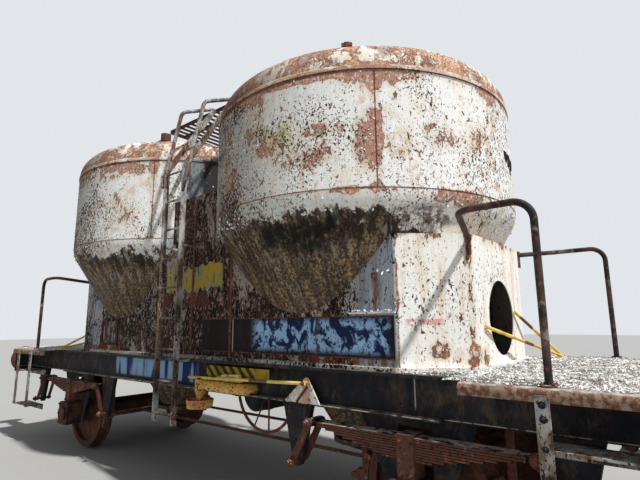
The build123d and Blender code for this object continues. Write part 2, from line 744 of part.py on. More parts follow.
def make_wheels(end):
    """Both wheels of an axle, each turned with its hub, web, rim and flange."""
    flange = [(WHEEL_Y + along * FLANGE_W, TREAD_R + up * FLANGE_H) for along, up in FLANGE_SHAPE]
    hub_in = WHEEL_Y - HUB_OVERHANG
    hub_out = WHEEL_Y + WHEEL_W + HUB_OVERHANG
    rim_out = WHEEL_Y + WHEEL_W
    web_mid = WHEEL_Y + WHEEL_W / 2
    with BuildPart() as wheels:
        with BuildSketch(Plane(origin=(end * AXLE_X, 0, AXLE_Z), x_dir=(0, 1, 0), z_dir=(0, 0, 1))):
            with BuildLine():
                Polyline(
                    (hub_in, WHEEL_SEAT_R),
                    (hub_in, HUB_R),
                    (web_mid - WHEEL_WEB_T, HUB_R + HUB_OVERHANG),
                    (web_mid - WHEEL_WEB_T / 2, RIM_IN_R),
                    (WHEEL_Y, RIM_IN_R),
                    *flange,
                    (rim_out, TREAD_R - TREAD_CONE),
                    (rim_out, RIM_IN_R),
                    (web_mid + WHEEL_WEB_T / 2, RIM_IN_R),
                    (web_mid + WHEEL_WEB_T, HUB_R + HUB_OVERHANG),
                    (hub_out, HUB_R),
                    (hub_out, WHEEL_SEAT_R),
                    close=True,
                )
            make_face()
        revolve(axis=Axis((end * AXLE_X, 0, AXLE_Z), (0, 1, 0)))
        mirror(about=Plane.XZ)
    return wheels


axle_1 = make_axle(1)
axle_2 = make_axle(-1)
wheels_1 = make_wheels(1)
wheels_2 = make_wheels(-1)

# Axle boxes with a blind bore for the journal and a round cover
with BuildPart() as axle_boxes:
    box_y = -(BOX_IN_Y + BOX_OUT_Y) / 2
    with Locations((AXLE_X, box_y, AXLE_Z)):
        box = Box(2 * BOX_HALF_L, BOX_OUT_Y - BOX_IN_Y, 2 * BOX_HALF_H)
    chamfer(box.edges().filter_by(Axis.Y), BOX_CORNER)
    with BuildSketch(upright(AXLE_X, -BOX_OUT_Y)):
        with Locations((0, AXLE_Z)):
            Circle(BOX_COVER_R)
    extrude(amount=BOX_COVER_T)
    with BuildSketch(upright(AXLE_X, -BOX_IN_Y)):
        with Locations((0, AXLE_Z)):
            Circle(JOURNAL_R + PIN_PLAY)
    extrude(amount=JOURNAL_END_Y + HINGE_GAP - BOX_IN_Y, mode=Mode.SUBTRACT)
    mirror(about=Plane.XZ)
    mirror(about=Plane.YZ)

# Axle guards, a plate with an arch for the box, a stay under it and packing to the sole bar
with BuildPart() as axle_guards:
    leg_in = BOX_HALF_L + 1
    with BuildSketch(upright(AXLE_X, -GUARD_Y)):
        Polygon(
            (-GUARD_TOP_HALF, SOLE_LOW + GUARD_RISE),
            (-GUARD_TOP_HALF, SOLE_LOW - SOLE_T),
            (-leg_in - GUARD_LEG, GUARD_LOW + BOX_HALF_H),
            (-leg_in - GUARD_LEG, GUARD_LOW),
            (leg_in + GUARD_LEG, GUARD_LOW),
            (leg_in + GUARD_LEG, GUARD_LOW + BOX_HALF_H),
            (GUARD_TOP_HALF, SOLE_LOW - SOLE_T),
            (GUARD_TOP_HALF, SOLE_LOW + GUARD_RISE),
            align=None,
        )
        arch_low = AXLE_Z - BOX_HALF_H - 1
        with Locations((0, (arch_low + GUARD_ARCH) / 2)):
            Rectangle(2 * leg_in, GUARD_ARCH - arch_low, mode=Mode.SUBTRACT)
    extrude(amount=GUARD_T)
    packing_t = SOLE_IN_Y - GUARD_Y - GUARD_T
    with Locations((AXLE_X, -SOLE_IN_Y + packing_t / 2, SOLE_LOW + GUARD_RISE / 2)):
        Box(2 * GUARD_TOP_HALF, packing_t, GUARD_RISE)
    mirror(about=Plane.XZ)
    mirror(about=Plane.YZ)

# Leaf springs with rolled eyes
eye_z = LEAF_TOP - LEAF_T / 2
with BuildPart() as leaf_springs:
    with BuildSketch(upright(AXLE_X, -SPRING_Y + LEAF_W / 2)):
        for layer, half_l in enumerate(LEAF_HALF_L):
            with Locations((0, LEAF_TOP - layer * LEAF_T - LEAF_T / 2)):
                Rectangle(2 * half_l, LEAF_T)
        with Locations((EYE_REACH, eye_z), (-EYE_REACH, eye_z)):
            Circle(EYE_R)
        with Locations((EYE_REACH, eye_z), (-EYE_REACH, eye_z)):
            Circle(EYE_PIN_R, mode=Mode.SUBTRACT)
    extrude(amount=LEAF_W)
    mirror(about=Plane.XZ)
    mirror(about=Plane.YZ)

# Buckles round the leaves, seated on the axle boxes
pack_h = LEAF_T * len(LEAF_HALF_L)
pack_low = LEAF_TOP - pack_h
box_top = AXLE_Z + BOX_HALF_H
with BuildPart() as spring_buckles:
    with Locations((AXLE_X, -SPRING_Y, (box_top + LEAF_TOP + BUCKLE_WALL) / 2)):
        Box(BUCKLE_L, LEAF_W + 2 * BUCKLE_WALL, LEAF_TOP + BUCKLE_WALL - box_top)
    with Locations((AXLE_X, -SPRING_Y, LEAF_TOP - pack_h / 2)):
        Box(BUCKLE_L, LEAF_W, pack_h, mode=Mode.SUBTRACT)
    mirror(about=Plane.XZ)
    mirror(about=Plane.YZ)

# Shackle links, a pair of bars at each spring end with the two pins through them
low_pin_x = EYE_REACH + LINK_REACH
low_pin_z = eye_z - LINK_DROP
with BuildPart() as spring_links:
    for end in ENDS:
        link_x = AXLE_X + end * EYE_REACH
        base_x = AXLE_X + end * low_pin_x
        for side in SIDES:
            link_y = -SPRING_Y + side * (LEAF_W / 2 + LINK_PLAY) + (LINK_T if side > 0 else 0)
            with BuildSketch(upright(0, link_y)):
                for pin_x, pin_z in ((link_x, eye_z), (base_x, low_pin_z)):
                    with Locations((pin_x, pin_z)):
                        Circle(LINK_W / 2)
                make_hull()
            extrude(amount=LINK_T)
        for pin_x, pin_z in ((link_x, eye_z), (base_x, low_pin_z)):
            with BuildSketch(upright(pin_x, -SPRING_Y + LEAF_W / 2 + LINK_PLAY + 2 * LINK_T)):
                with Locations((0, pin_z)):
                    Circle(EYE_PIN_R - FIT)
            extrude(amount=LEAF_W + 2 * LINK_PLAY + 4 * LINK_T)
    mirror(about=Plane.XZ)
    mirror(about=Plane.YZ)

# Hanger brackets under the sole bars that hold the links' lower pins
with BuildPart() as spring_hangers:
    for end in ENDS:
        base_x = AXLE_X + end * low_pin_x
        with BuildSketch(upright(base_x, -SPRING_Y + HANGER_T / 2)):
            Polygon(
                (-HANGER_TOP_L / 2, SOLE_LOW),
                (-HANGER_BOSS_R, low_pin_z),
                (HANGER_BOSS_R, low_pin_z),
                (HANGER_TOP_L / 2, SOLE_LOW),
                align=None,
            )
            with Locations((0, low_pin_z)):
                Circle(HANGER_BOSS_R)
            with Locations((0, low_pin_z)):
                Circle(EYE_PIN_R, mode=Mode.SUBTRACT)
        extrude(amount=HANGER_T)
    mirror(about=Plane.XZ)
    mirror(about=Plane.YZ)

# Brake blocks with their holders on both sides of each wheel
wheel_mid_y = WHEEL_Y + WHEEL_W / 2 + FLANGE_W / 2
shoe_in = TREAD_R + SHOE_GAP
shoe_out = shoe_in + SHOE_T
beam_x = shoe_out + HOLDER_T
with BuildPart() as brake_shoes:
    for end in ENDS:
        with BuildSketch(upright(AXLE_X, -wheel_mid_y + SHOE_W / 2)):
            half = radians(SHOE_HALF_ANGLE)
            with BuildLine():
                inner = (end * shoe_in * cos(half), AXLE_Z - shoe_in * sin(half))
                inner_top = (end * shoe_in * cos(half), AXLE_Z + shoe_in * sin(half))
                outer = (end * shoe_out * cos(half), AXLE_Z - shoe_out * sin(half))
                outer_top = (end * shoe_out * cos(half), AXLE_Z + shoe_out * sin(half))
                ThreePointArc(inner, (end * shoe_in, AXLE_Z), inner_top)
                Line(inner_top, outer_top)
                ThreePointArc(outer_top, (end * shoe_out, AXLE_Z), outer)
                Line(outer, inner)
            make_face()
            with Locations((end * (shoe_out + HOLDER_T / 2 - LINK_T / 2), AXLE_Z)):
                Rectangle(HOLDER_T + LINK_T, 2 * HOLDER_T)
        extrude(amount=SHOE_W)
    mirror(about=Plane.XZ)
    mirror(about=Plane.YZ)

with BuildPart() as brake_beams:
    for end in ENDS:
        with BuildSketch(upright(AXLE_X + end * (beam_x + BRAKE_BEAM_R), wheel_mid_y + SHOE_W / 2)):
            with Locations((0, AXLE_Z)):
                Circle(BRAKE_BEAM_R)
        extrude(amount=2 * wheel_mid_y + SHOE_W)
    mirror(about=Plane.YZ)

with BuildPart() as brake_hangers:
    for end in ENDS:
        hanger_y = -wheel_mid_y + SHOE_W / 2 + BRAKE_HANGER_T / 2
        hanger_x = AXLE_X + end * (shoe_out + HOLDER_T / 2)
        hanger_low = AXLE_Z - BRAKE_HANGER_W
        with Locations((hanger_x, hanger_y, (hanger_low + FRAME_TOP) / 2)):
            Box(BRAKE_HANGER_W, BRAKE_HANGER_T, FRAME_TOP - hanger_low)
    mirror(about=Plane.XZ)
    mirror(about=Plane.YZ)

# Pull rods between the inner brake beams, with the levers of the brake cylinder
inner_beam_x = AXLE_X - beam_x - BRAKE_BEAM_R
rod_end_x = inner_beam_x - BRAKE_BEAM_R
with BuildPart() as brake_rods:
    with BuildSketch(across(-rod_end_x)):
        with Locations((-BRAKE_ROD_Y, AXLE_Z), (BRAKE_ROD_Y, AXLE_Z)):
            Circle(BRAKE_ROD_R)
    extrude(amount=2 * rod_end_x)

# Brake cylinder and air reservoir hung under the floor between the cones
with BuildPart() as brake_cylinder:
    with BuildSketch(across(CYLINDER_X)):
        with Locations((CYLINDER_Y, CYLINDER_Z)):
            Circle(CYLINDER_R)
    extrude(amount=CYLINDER_L)
    with BuildSketch(across(CYLINDER_X)):
        with Locations((CYLINDER_Y, CYLINDER_Z)):
            Circle(CYLINDER_R + STRAP_T)
    extrude(amount=STRAP_W)
    with Locations((CYLINDER_X + STRAP_W / 2, CYLINDER_Y, (CYLINDER_Z + FRAME_TOP) / 2)):
        Box(STRAP_W, CYLINDER_R, FRAME_TOP - CYLINDER_Z)
    with BuildSketch(across(CYLINDER_X + CYLINDER_L)):
        with Locations((CYLINDER_Y, CYLINDER_Z)):
            Circle(BRAKE_ROD_R)
    extrude(amount=CYLINDER_R)

with BuildPart() as air_reservoir:
    with BuildSketch(upright(RESERVOIR_X, RESERVOIR_L / 2)):
        with Locations((0, RESERVOIR_Z)):
            Circle(RESERVOIR_R)
    extrude(amount=RESERVOIR_L)
    chamfer(air_reservoir.edges().filter_by(GeomType.CIRCLE), RESERVOIR_END_R)
    for side in SIDES:
        strap_y = side * RESERVOIR_L / 4
        with BuildSketch(upright(RESERVOIR_X, strap_y + STRAP_W / 2)):
            with Locations((0, RESERVOIR_Z)):
                Circle(RESERVOIR_R + STRAP_T)
            with Locations((0, (RESERVOIR_Z + FRAME_TOP) / 2)):
                Rectangle(RESERVOIR_R, FRAME_TOP - RESERVOIR_Z)
        extrude(amount=STRAP_W)

# Round bar guard hoops under the floor, hung from it on both sides
with BuildPart() as guard_hoop:
    with BuildLine(upright(0, -HOOP_GUARD_Y)) as guard_line:
        Line((HOOP_GUARD_X - HOOP_GUARD_R, FRAME_TOP), (HOOP_GUARD_X - HOOP_GUARD_R, HOOP_GUARD_Z))
        ThreePointArc(
            (HOOP_GUARD_X - HOOP_GUARD_R, HOOP_GUARD_Z),
            (HOOP_GUARD_X, HOOP_GUARD_Z - HOOP_GUARD_R),
            (HOOP_GUARD_X + HOOP_GUARD_R, HOOP_GUARD_Z),
        )
        Line((HOOP_GUARD_X + HOOP_GUARD_R, HOOP_GUARD_Z), (HOOP_GUARD_X + HOOP_GUARD_R, FRAME_TOP))
    with BuildSketch(Plane.XY.offset(FRAME_TOP)):
        with Locations((HOOP_GUARD_X - HOOP_GUARD_R, -HOOP_GUARD_Y)):
            Circle(LEVER_R)
    sweep(path=guard_line.line)

with BuildPart() as guard_hoops:
    with PolarLocations(0, 2):
        add(guard_hoop.part)

# Outlet pipes through the sole bars to the cones, with a drip cup under each valve
with BuildPart() as outlet_pipe:
    with BuildLine(Plane.XY.offset(PIPE_OUT_Z)) as pipe_line:
        FilletPolyline(
            (PIPE_OUT_X[0], -PIPE_OUT_Y),
            (PIPE_OUT_X[1], -PIPE_OUT_Y),
            (PIPE_OUT_X[1], -SOLE_IN_Y + PIPE_TURN_GAP),
            (TANK_X, 0),
            radius=2 * PIPE_OUT_R,
        )
    with BuildSketch(Plane(origin=(PIPE_OUT_X[0], -PIPE_OUT_Y, PIPE_OUT_Z), z_dir=(1, 0, 0))):
        Circle(PIPE_OUT_R)
    sweep(path=pipe_line.line)
    add(TANK_SPACES[0], mode=Mode.SUBTRACT)

with BuildPart() as outlet_pipes:
    with PolarLocations(0, 2):
        add(outlet_pipe.part)

with BuildPart() as outlet_valve:
    with BuildSketch(upright(VALVE_X, -PIPE_OUT_Y)):
        with BuildLine():
            Polyline(
                (0, VALVE_Z[0]),
                (CUP_R, VALVE_Z[0]),
                (CUP_R + CUP_WALL, VALVE_Z[0] + CUP_H),
                (CUP_R, VALVE_Z[0] + CUP_H),
                (CUP_R - CUP_WALL, VALVE_Z[0] + CUP_WALL),
                (VALVE_R[0], VALVE_Z[0] + CUP_WALL),
                (VALVE_R[0], VALVE_Z[1]),
                (VALVE_R[1], VALVE_Z[2]),
                (VALVE_R[1], VALVE_Z[3]),
                (0, VALVE_Z[3]),
                close=True,
            )
        make_face()
    revolve(axis=Axis((VALVE_X, -PIPE_OUT_Y, 0), (0, 0, 1)))

with BuildPart() as outlet_valves:
    with PolarLocations(0, 2):
        add(outlet_valve.part)

# Lever rods from the valves to their triangular brackets on the sole bars' lower flanges
lever_rest_x = VALVE_X - VALVE_R[1]
lever_rest_z = VALVE_Z[3] + LEVER_R + FIT
lever_slope = (LEVER_END_Z - lever_rest_z) / (LEVER_X[1] - lever_rest_x)
lever_start_z = lever_rest_z - lever_slope * (lever_rest_x - LEVER_X[0])
with BuildPart() as lever_rod:
    with BuildLine(upright(0, -PIPE_OUT_Y)) as lever_line:
        Line((LEVER_X[0], lever_start_z), (LEVER_X[1], LEVER_END_Z))
    with BuildSketch(Plane(origin=lever_line.line @ 0, z_dir=lever_line.line % 0)):
        Circle(LEVER_R)
    sweep(path=lever_line.line)

with BuildPart() as lever_rods:
    with PolarLocations(0, 2):
        add(lever_rod.part)

with BuildPart() as lever_bracket:
    gusset_low = SOLE_LOW + SOLE_T
    with BuildSketch(upright(0, -FLOOR_HALF_W + GUSSET_T)):
        Polygon(
            (GUSSET_X[0], gusset_low),
            (GUSSET_X[2], gusset_low),
            (GUSSET_X[1] + LEVER_R, gusset_low + GUSSET_H),
            (GUSSET_X[1] - LEVER_R, gusset_low + GUSSET_H),
            align=None,
        )
    extrude(amount=GUSSET_T)
    with BuildSketch(upright(GUSSET_X[1], -FLOOR_HALF_W)):
        with Locations((0, LEVER_END_Z)):
            Circle(LEVER_R)
    extrude(amount=PIPE_OUT_Y - LEVER_R - FLOOR_HALF_W - FIT)

with BuildPart() as lever_brackets:
    with PolarLocations(0, 2):
        add(lever_bracket.part)

# Striped plates behind the lever rods, held off the sole bars by lugs, with a wedge in front
with BuildPart() as stripe_plate:
    with BuildSketch(upright(0, -FLOOR_HALF_W - FIT)):
        with Locations((sum(STRIPE_X) / 2, sum(STRIPE_Z) / 2)):
            Rectangle(STRIPE_X[1] - STRIPE_X[0], STRIPE_Z[1] - STRIPE_Z[0])
    extrude(amount=STRIPE_T)
    with BuildSketch(upright(0, -FLOOR_HALF_W - FIT - STRIPE_T)):
        Polygon(*WEDGE, align=None)
    extrude(amount=WEDGE_T)
    with BuildSketch(upright(0, -SOLE_WEB_Y - FIT)):
        with Locations(*[(lug_x, sum(STRIPE_Z) / 2) for lug_x in STRIPE_LUG_X]):
            Rectangle(STRIPE_LUG, STRIPE_LUG)
    extrude(amount=FLOOR_HALF_W - SOLE_WEB_Y)

with BuildPart() as stripe_plates:
    with PolarLocations(0, 2):
        add(stripe_plate.part)

# Yellow prop bars leaning from the end walls down to the decks
with BuildPart() as end_bar_pair:
    for top_y, top_h in END_BAR_TOPS:
        start = Vector(SKIRT_END_X + END_BAR_R, top_y, DECK_Z + top_h)
        foot = Vector(END_BAR_FOOT_X, END_BAR_FOOT_Y, DECK_Z + END_BAR_R)
        with BuildLine() as bar_line:
            Line(start, foot)
        with BuildSketch(Plane(origin=start, z_dir=bar_line.line % 0)):
            Circle(END_BAR_R)
        sweep(path=bar_line.line)

with BuildPart() as end_bars:
    with PolarLocations(0, 2):
        add(end_bar_pair.part)

# Shunting steps at the corners, two hanger straps with an upper and a lower tread
with BuildPart() as steps:
    strap_low = STEP_Z[0] - STEP_STRAP_T
    strap_y = -DECK_HALF_W - STEP_STRAP_T / 2
    step_w = DECK_HALF_W - SPRING_Y - HANGER_T / 2 - STEP_ROOM
    for x in STEP_X:
        with Locations((x, strap_y, (strap_low + DECK_Z - DECK_LIP_R) / 2)):
            Box(STEP_STRAP_W, STEP_STRAP_T, DECK_Z - DECK_LIP_R - strap_low)
    for z in STEP_Z:
        tread_y = strap_y + STEP_STRAP_T / 2 + step_w / 2
        with Locations((sum(STEP_X) / 2, tread_y, z)):
            Box(STEP_X[1] - STEP_X[0] + STEP_STRAP_W, step_w, STEP_STRAP_T)
        with Locations((sum(STEP_X) / 2, tread_y + step_w / 2, z - STEP_STRAP_W / 2)):
            Box(STEP_X[1] - STEP_X[0] + STEP_STRAP_W, STEP_STRAP_T, STEP_STRAP_W)
    mirror(about=Plane.XZ)
    mirror(about=Plane.YZ)

# Buffers: a plate and tube on the headstock, a plunger with a dished head
with BuildPart() as buffer_housings:
    with Locations((HEADSTOCK_X + BUFFER_PLATE_T / 2, BUFFER_Y, BUFFER_Z)):
        Box(BUFFER_PLATE_T, BUFFER_PLATE, BUFFER_PLATE)
    with BuildSketch(across(HEADSTOCK_X + BUFFER_PLATE_T)):
        with Locations((BUFFER_Y, BUFFER_Z)):
            Circle(BUFFER_TUBE_R)
    extrude(amount=BUFFER_TUBE_L)
    with BuildSketch(across(HEADSTOCK_X + BUFFER_PLATE_T + BUFFER_TUBE_L)):
        with Locations((BUFFER_Y, BUFFER_Z)):
            Circle(PLUNGER_R + FIT)
    extrude(amount=-BUFFER_TUBE_L / 2, mode=Mode.SUBTRACT)
    mirror(about=Plane.XZ)
    mirror(about=Plane.YZ)

buffer_face_x = HEADSTOCK_X + BUFFER_FACE
with BuildPart() as buffer_heads:
    with BuildSketch(Plane(origin=(0, BUFFER_Y, BUFFER_Z), x_dir=(1, 0, 0), z_dir=(0, -1, 0))):
        with BuildLine():
            head_back = buffer_face_x - HEAD_T
            plunger_x = HEADSTOCK_X + BUFFER_PLATE_T + BUFFER_TUBE_L / 2 + FIT
            Polyline(
                (plunger_x, 0),
                (plunger_x, PLUNGER_R),
                (head_back - HEAD_T, PLUNGER_R),
                (head_back, HEAD_R),
                (buffer_face_x - HEAD_BEVEL, HEAD_R),
                (buffer_face_x, HEAD_R - HEAD_BEVEL),
                (buffer_face_x, 0),
                close=True,
            )
        make_face()
    revolve(axis=Axis((0, BUFFER_Y, BUFFER_Z), (1, 0, 0)))
    mirror(about=Plane.XZ)
    mirror(about=Plane.YZ)

# Draw hooks with their guide plates
with BuildPart() as draw_hooks:
    with Locations((HEADSTOCK_X + BUFFER_PLATE_T / 2, 0, BUFFER_Z)):
        Box(BUFFER_PLATE_T, BUFFER_PLATE, HOOK_PLATE_H)
    with BuildSketch(upright(HEADSTOCK_X, HOOK_T / 2)):
        with Locations((HOOK_L / 2, BUFFER_Z)):
            Rectangle(HOOK_L, HOOK_T)
        with Locations((HOOK_L, BUFFER_Z + HOOK_T / 2)):
            Circle(HOOK_R)
        with Locations((HOOK_L, BUFFER_Z + HOOK_T / 2)):
            Circle(HOOK_THROAT_R, mode=Mode.SUBTRACT)
        with Locations((HOOK_L - HOOK_R / 2, BUFFER_Z + HOOK_T / 2 + HOOK_R)):
            Rectangle(HOOK_R, 2 * HOOK_R, mode=Mode.SUBTRACT)
        with Locations((LINK_PIN_X, BUFFER_Z)):
            Circle(LINK_PIN_R, mode=Mode.SUBTRACT)
    extrude(amount=HOOK_T)
    mirror(about=Plane.YZ)

# Screw couplings hanging from a pin through each hook: two bars, a screw and a shackle
nut_z = BUFFER_Z - LINK_BAR_L
low_nut_z = nut_z - COUPLING_SCREW_L
shackle_z = low_nut_z - SHACKLE_L
pin_half = LINK_BAR_Y + LINK_BAR_T
coupling_x = HEADSTOCK_X + LINK_PIN_X
with BuildPart() as couplings:
    with BuildSketch(upright(coupling_x, pin_half)):
        with Locations((0, BUFFER_Z)):
            Circle(LINK_PIN_R - FIT)
        with Locations((0, nut_z), (0, low_nut_z)):
            Circle(COUPLING_NUT_R)
    extrude(amount=2 * pin_half)
    with Locations((coupling_x, LINK_BAR_Y + LINK_BAR_T / 2, (BUFFER_Z + nut_z) / 2),
                   (coupling_x, -LINK_BAR_Y - LINK_BAR_T / 2, (BUFFER_Z + nut_z) / 2)):
        Box(LINK_BAR_W, LINK_BAR_T, LINK_BAR_L + LINK_BAR_W)
    with BuildSketch(Plane.XY.offset(low_nut_z)):
        with Locations((coupling_x, 0)):
            Circle(COUPLING_SCREW_R)
    extrude(amount=COUPLING_SCREW_L)
    with BuildLine(across(coupling_x)) as shackle_line:
        Line((-LINK_BAR_Y, low_nut_z), (-LINK_BAR_Y, shackle_z))
        ThreePointArc((-LINK_BAR_Y, shackle_z), (0, shackle_z - LINK_BAR_Y), (LINK_BAR_Y, shackle_z))
        Line((LINK_BAR_Y, shackle_z), (LINK_BAR_Y, low_nut_z))
    with BuildSketch(Plane.XY.offset(low_nut_z)):
        with Locations((coupling_x, -LINK_BAR_Y)):
            Circle(SHACKLE_R)
    sweep(path=shackle_line.line)
    mirror(about=Plane.YZ)

pieces = {
    "brake_rods": brake_rods,
    "brake_cylinder": brake_cylinder,
    "air_reservoir": air_reservoir,
    "guard_hoops": guard_hoops,
    "outlet_pipes": outlet_pipes,
    "outlet_valves": outlet_valves,
    "lever_rods": lever_rods,
    "lever_brackets": lever_brackets,
    "stripe_plates": stripe_plates,
    "end_bars": end_bars,
    "steps": steps,
    "buffer_housings": buffer_housings,
    "buffer_heads": buffer_heads,
    "draw_hooks": draw_hooks,
    "couplings": couplings,
    "tank_1": tank_1,
    "tank_2": tank_2,
    "lid_1": lid_1,
    "lid_2": lid_2,
    "skirt_sides": skirt_sides,
    "skirt_ends": skirt_ends,
    "skirt_cover": skirt_cover,
    "skirt_plinth": skirt_plinth,
    "number_panels": number_panels,
    "placard_frames": placard_frames,
    "floor_plate": floor_plate,
    "deck_plates": deck_plates,
    "sole_bars": sole_bars,
    "headstocks": headstocks,
    "cross_bearers": cross_bearers,
    "draft_sills": draft_sills,
    "ladder_stiles": ladder_stiles,
    "ladder_rungs": ladder_rungs,
    "ladder_hoops": ladder_hoops,
    "walkway": walkway,
    "walkway_legs": walkway_legs,
    "top_valves": top_valves,
    "handrails": handrails,
    "axle_1": axle_1,
    "axle_2": axle_2,
    "wheels_1": wheels_1,
    "wheels_2": wheels_2,
    "axle_boxes": axle_boxes,
    "axle_guards": axle_guards,
    "leaf_springs": leaf_springs,
    "spring_buckles": spring_buckles,
    "spring_links": spring_links,
    "spring_hangers": spring_hangers,
    "brake_shoes": brake_shoes,
    "brake_beams": brake_beams,
    "brake_hangers": brake_hangers,
}
for name, piece in pieces.items():
    piece.part.label = name
    export_step(piece.part, f"parts/{name}.step")
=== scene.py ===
import json
from math import cos, pi, radians, sin
import random

import bmesh
import bpy
from mathutils import Matrix, Vector


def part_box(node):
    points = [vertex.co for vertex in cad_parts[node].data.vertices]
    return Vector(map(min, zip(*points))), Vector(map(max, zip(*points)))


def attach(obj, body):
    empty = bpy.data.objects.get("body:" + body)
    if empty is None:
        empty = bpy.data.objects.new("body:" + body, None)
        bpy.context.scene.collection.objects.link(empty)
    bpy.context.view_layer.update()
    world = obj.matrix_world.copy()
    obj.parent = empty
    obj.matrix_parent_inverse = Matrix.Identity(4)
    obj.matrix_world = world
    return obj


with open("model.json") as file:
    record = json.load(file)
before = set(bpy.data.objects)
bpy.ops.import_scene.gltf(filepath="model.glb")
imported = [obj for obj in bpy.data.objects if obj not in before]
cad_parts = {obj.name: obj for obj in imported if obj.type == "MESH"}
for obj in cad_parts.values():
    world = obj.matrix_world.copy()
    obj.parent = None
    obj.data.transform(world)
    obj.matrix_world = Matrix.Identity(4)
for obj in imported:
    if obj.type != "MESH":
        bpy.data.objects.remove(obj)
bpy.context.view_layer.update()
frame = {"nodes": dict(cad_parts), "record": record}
nodes = frame["nodes"]
rng = random.Random(7)

# Places read from the frame, in metres
ENDS = (1, -1)
SIDES = (1, -1)
QUARTERS = [(end, side) for end in ENDS for side in SIDES]
LIP_T = 0.006
DECK_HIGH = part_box("deck_plates")[1]
DECK_Z = DECK_HIGH.z
DECK_START_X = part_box("floor_plate")[1].x
DECK_END_X = DECK_HIGH.x
DECK_HALF_W = DECK_HIGH.y
TANK_LOW, TANK_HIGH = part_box("tank_1")
TANK_X = (TANK_LOW.x + TANK_HIGH.x) / 2
TANK_R = (TANK_HIGH.x - TANK_LOW.x) / 2 - LIP_T
SKIRT_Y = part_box("skirt_sides")[1].y
SKIRT_CORNER_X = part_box("skirt_sides")[1].x
SKIRT_END_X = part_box("skirt_ends")[1].x
SKIRT_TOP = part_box("skirt_ends")[1].z
FLANGE_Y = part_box("sole_bars")[1].y
SOLE_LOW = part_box("sole_bars")[0].z
HEAD_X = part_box("headstocks")[1].x
HEAD_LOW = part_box("headstocks")[0].z
AXLE_LOW, AXLE_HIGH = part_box("axle_1")
AXLE_X = (AXLE_LOW.x + AXLE_HIGH.x) / 2
AXLE_Z = (AXLE_LOW.z + AXLE_HIGH.z) / 2
LOW_SEAM_H = 1.29
TOP_SEAM_H = 2.245
LOW_SEAM_Z = DECK_Z + LOW_SEAM_H
TOP_SEAM_Z = DECK_Z + TOP_SEAM_H
LIP_LOW_H = TOP_SEAM_H - 0.037
KNUCKLE_R = 0.25
SEAM_ANGLE = -50.9
LUG_ANGLE = -59.2
PLINTH_H = 0.030
BAND_EDGES_H = (0.080, 0.383)
RAIL_FOOT_X = 3.44
RAIL_FOOT_Y = 1.157
VALVE_X = 0.405
VALVE_Y = 1.110
FLAKE_OFF = 0.0006
RING_FLAKES = 1300
KNUCKLE_FLAKES = 420
FACET_FLAKES = 120
DECK_FLAKES = 15000
CORNER_FLAKES = 1500
LEDGE_FLAKES = 46
LUG_Z = 3.760
LUG_R = 1.322
LUG_TURN = 30.8
SPECULAR = 0.12
LEAF_TOP = 0.890
LEAF_T = 0.016
LEAF_W = 0.120
LEAF_COUNT = 9
LEAF_LONGEST = 0.742
LEAF_STEP = 0.080
BUFFER_Y = 0.875
CUP_TOP_Z = 0.935
PLACARD_HALF_W = 0.205
PLACARD_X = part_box("placard_frames")[1].x - PLACARD_HALF_W
BUFFER_Z = 1.08

# Camera of the photograph: where it stands, how it is turned, and its lens
CAMERA_PLACE = (4.120, -3.836, 1.615)
CAMERA_YAW = 39.61
CAMERA_PITCH = 10.22
CAMERA_ROLL = -0.48
CAMERA_LENS = 26.0
SENSOR_W = 36.0

# Light: a hard sun, high and behind the camera on its right, and a pale world
SUN_FROM = (0.505, -0.055, 0.862)
SUN_STRENGTH = 4.1
SUN_ANGLE = 2.5
WORLD_STRENGTH = 0.38
FLOOR_TONE = (166, 165, 162)
FLOOR_PATCH_TONE = (172, 171, 168)
SKY_TONE = (226, 230, 235)

# Bare patches on the tanks' rings: angle round the tank in degrees, height above the deck,
# half width along the ring, half height, strength
NEAR_PATCHES = (
    (-50.6, 2.15, 0.30, 0.11, 0.42),
    (-53.5, 1.66, 0.13, 0.20, 0.40),
    (-67.0, 1.75, 0.22, 0.06, 0.36),
    (-74.0, 1.55, 0.34, 0.09, 0.37),
    (-86.0, 1.71, 0.16, 0.12, 0.33),
    (-56.0, 1.27, 0.30, 0.035, 0.30),
    (-26.0, 1.24, 0.32, 0.065, 0.37),
    (-31.0, 1.70, 0.16, 0.14, 0.37),
    (-17.0, 1.74, 0.10, 0.14, 0.37),
    (-72.0, 2.185, 0.42, 0.045, 0.40),
    (-97.0, 2.190, 0.40, 0.050, 0.38),
    (-44.0, 1.63, 0.13, 0.10, 0.28),
    (-9.0, 2.15, 0.15, 0.12, 0.34),
    (-92.0, 2.00, 0.16, 0.22, 0.30),
    (-107.0, 1.66, 0.16, 0.28, 0.32),
)
FAR_PATCHES = (
    (-69.7, 2.10, 0.42, 0.11, 0.34),
    (-80.0, 1.72, 0.14, 0.10, 0.30),
    (-65.0, 1.64, 0.18, 0.20, 0.27),
    (-86.0, 1.60, 0.12, 0.16, 0.30),
    (-97.0, 2.10, 0.25, 0.16, 0.30),
)
HIDDEN_PATCHES = (
    (60.0, 2.12, 0.40, 0.10, 0.36),
    (95.0, 1.60, 0.30, 0.18, 0.30),
    (135.0, 1.80, 0.22, 0.22, 0.28),
    (20.0, 1.50, 0.22, 0.20, 0.26),
)
# Torn spots at the right of a ring, drawn as flat flakes of painted shade: angle in degrees, height above
# the deck, size
TORN_SPOTS = ((2.5, 1.715, 0.085), (6.5, 1.695, 0.105), (10.5, 1.680, 0.085), (8.0, 1.625, 0.060))


def tone(red, green, blue):
    """A colour given as it shows on a screen, 0 to 255, as the linear values that nodes take."""
    def linear(value):
        share = value / 255
        return share / 12.92 if share <= 0.04045 else ((share + 0.055) / 1.055) ** 2.4
    return (linear(red), linear(green), linear(blue), 1.0)


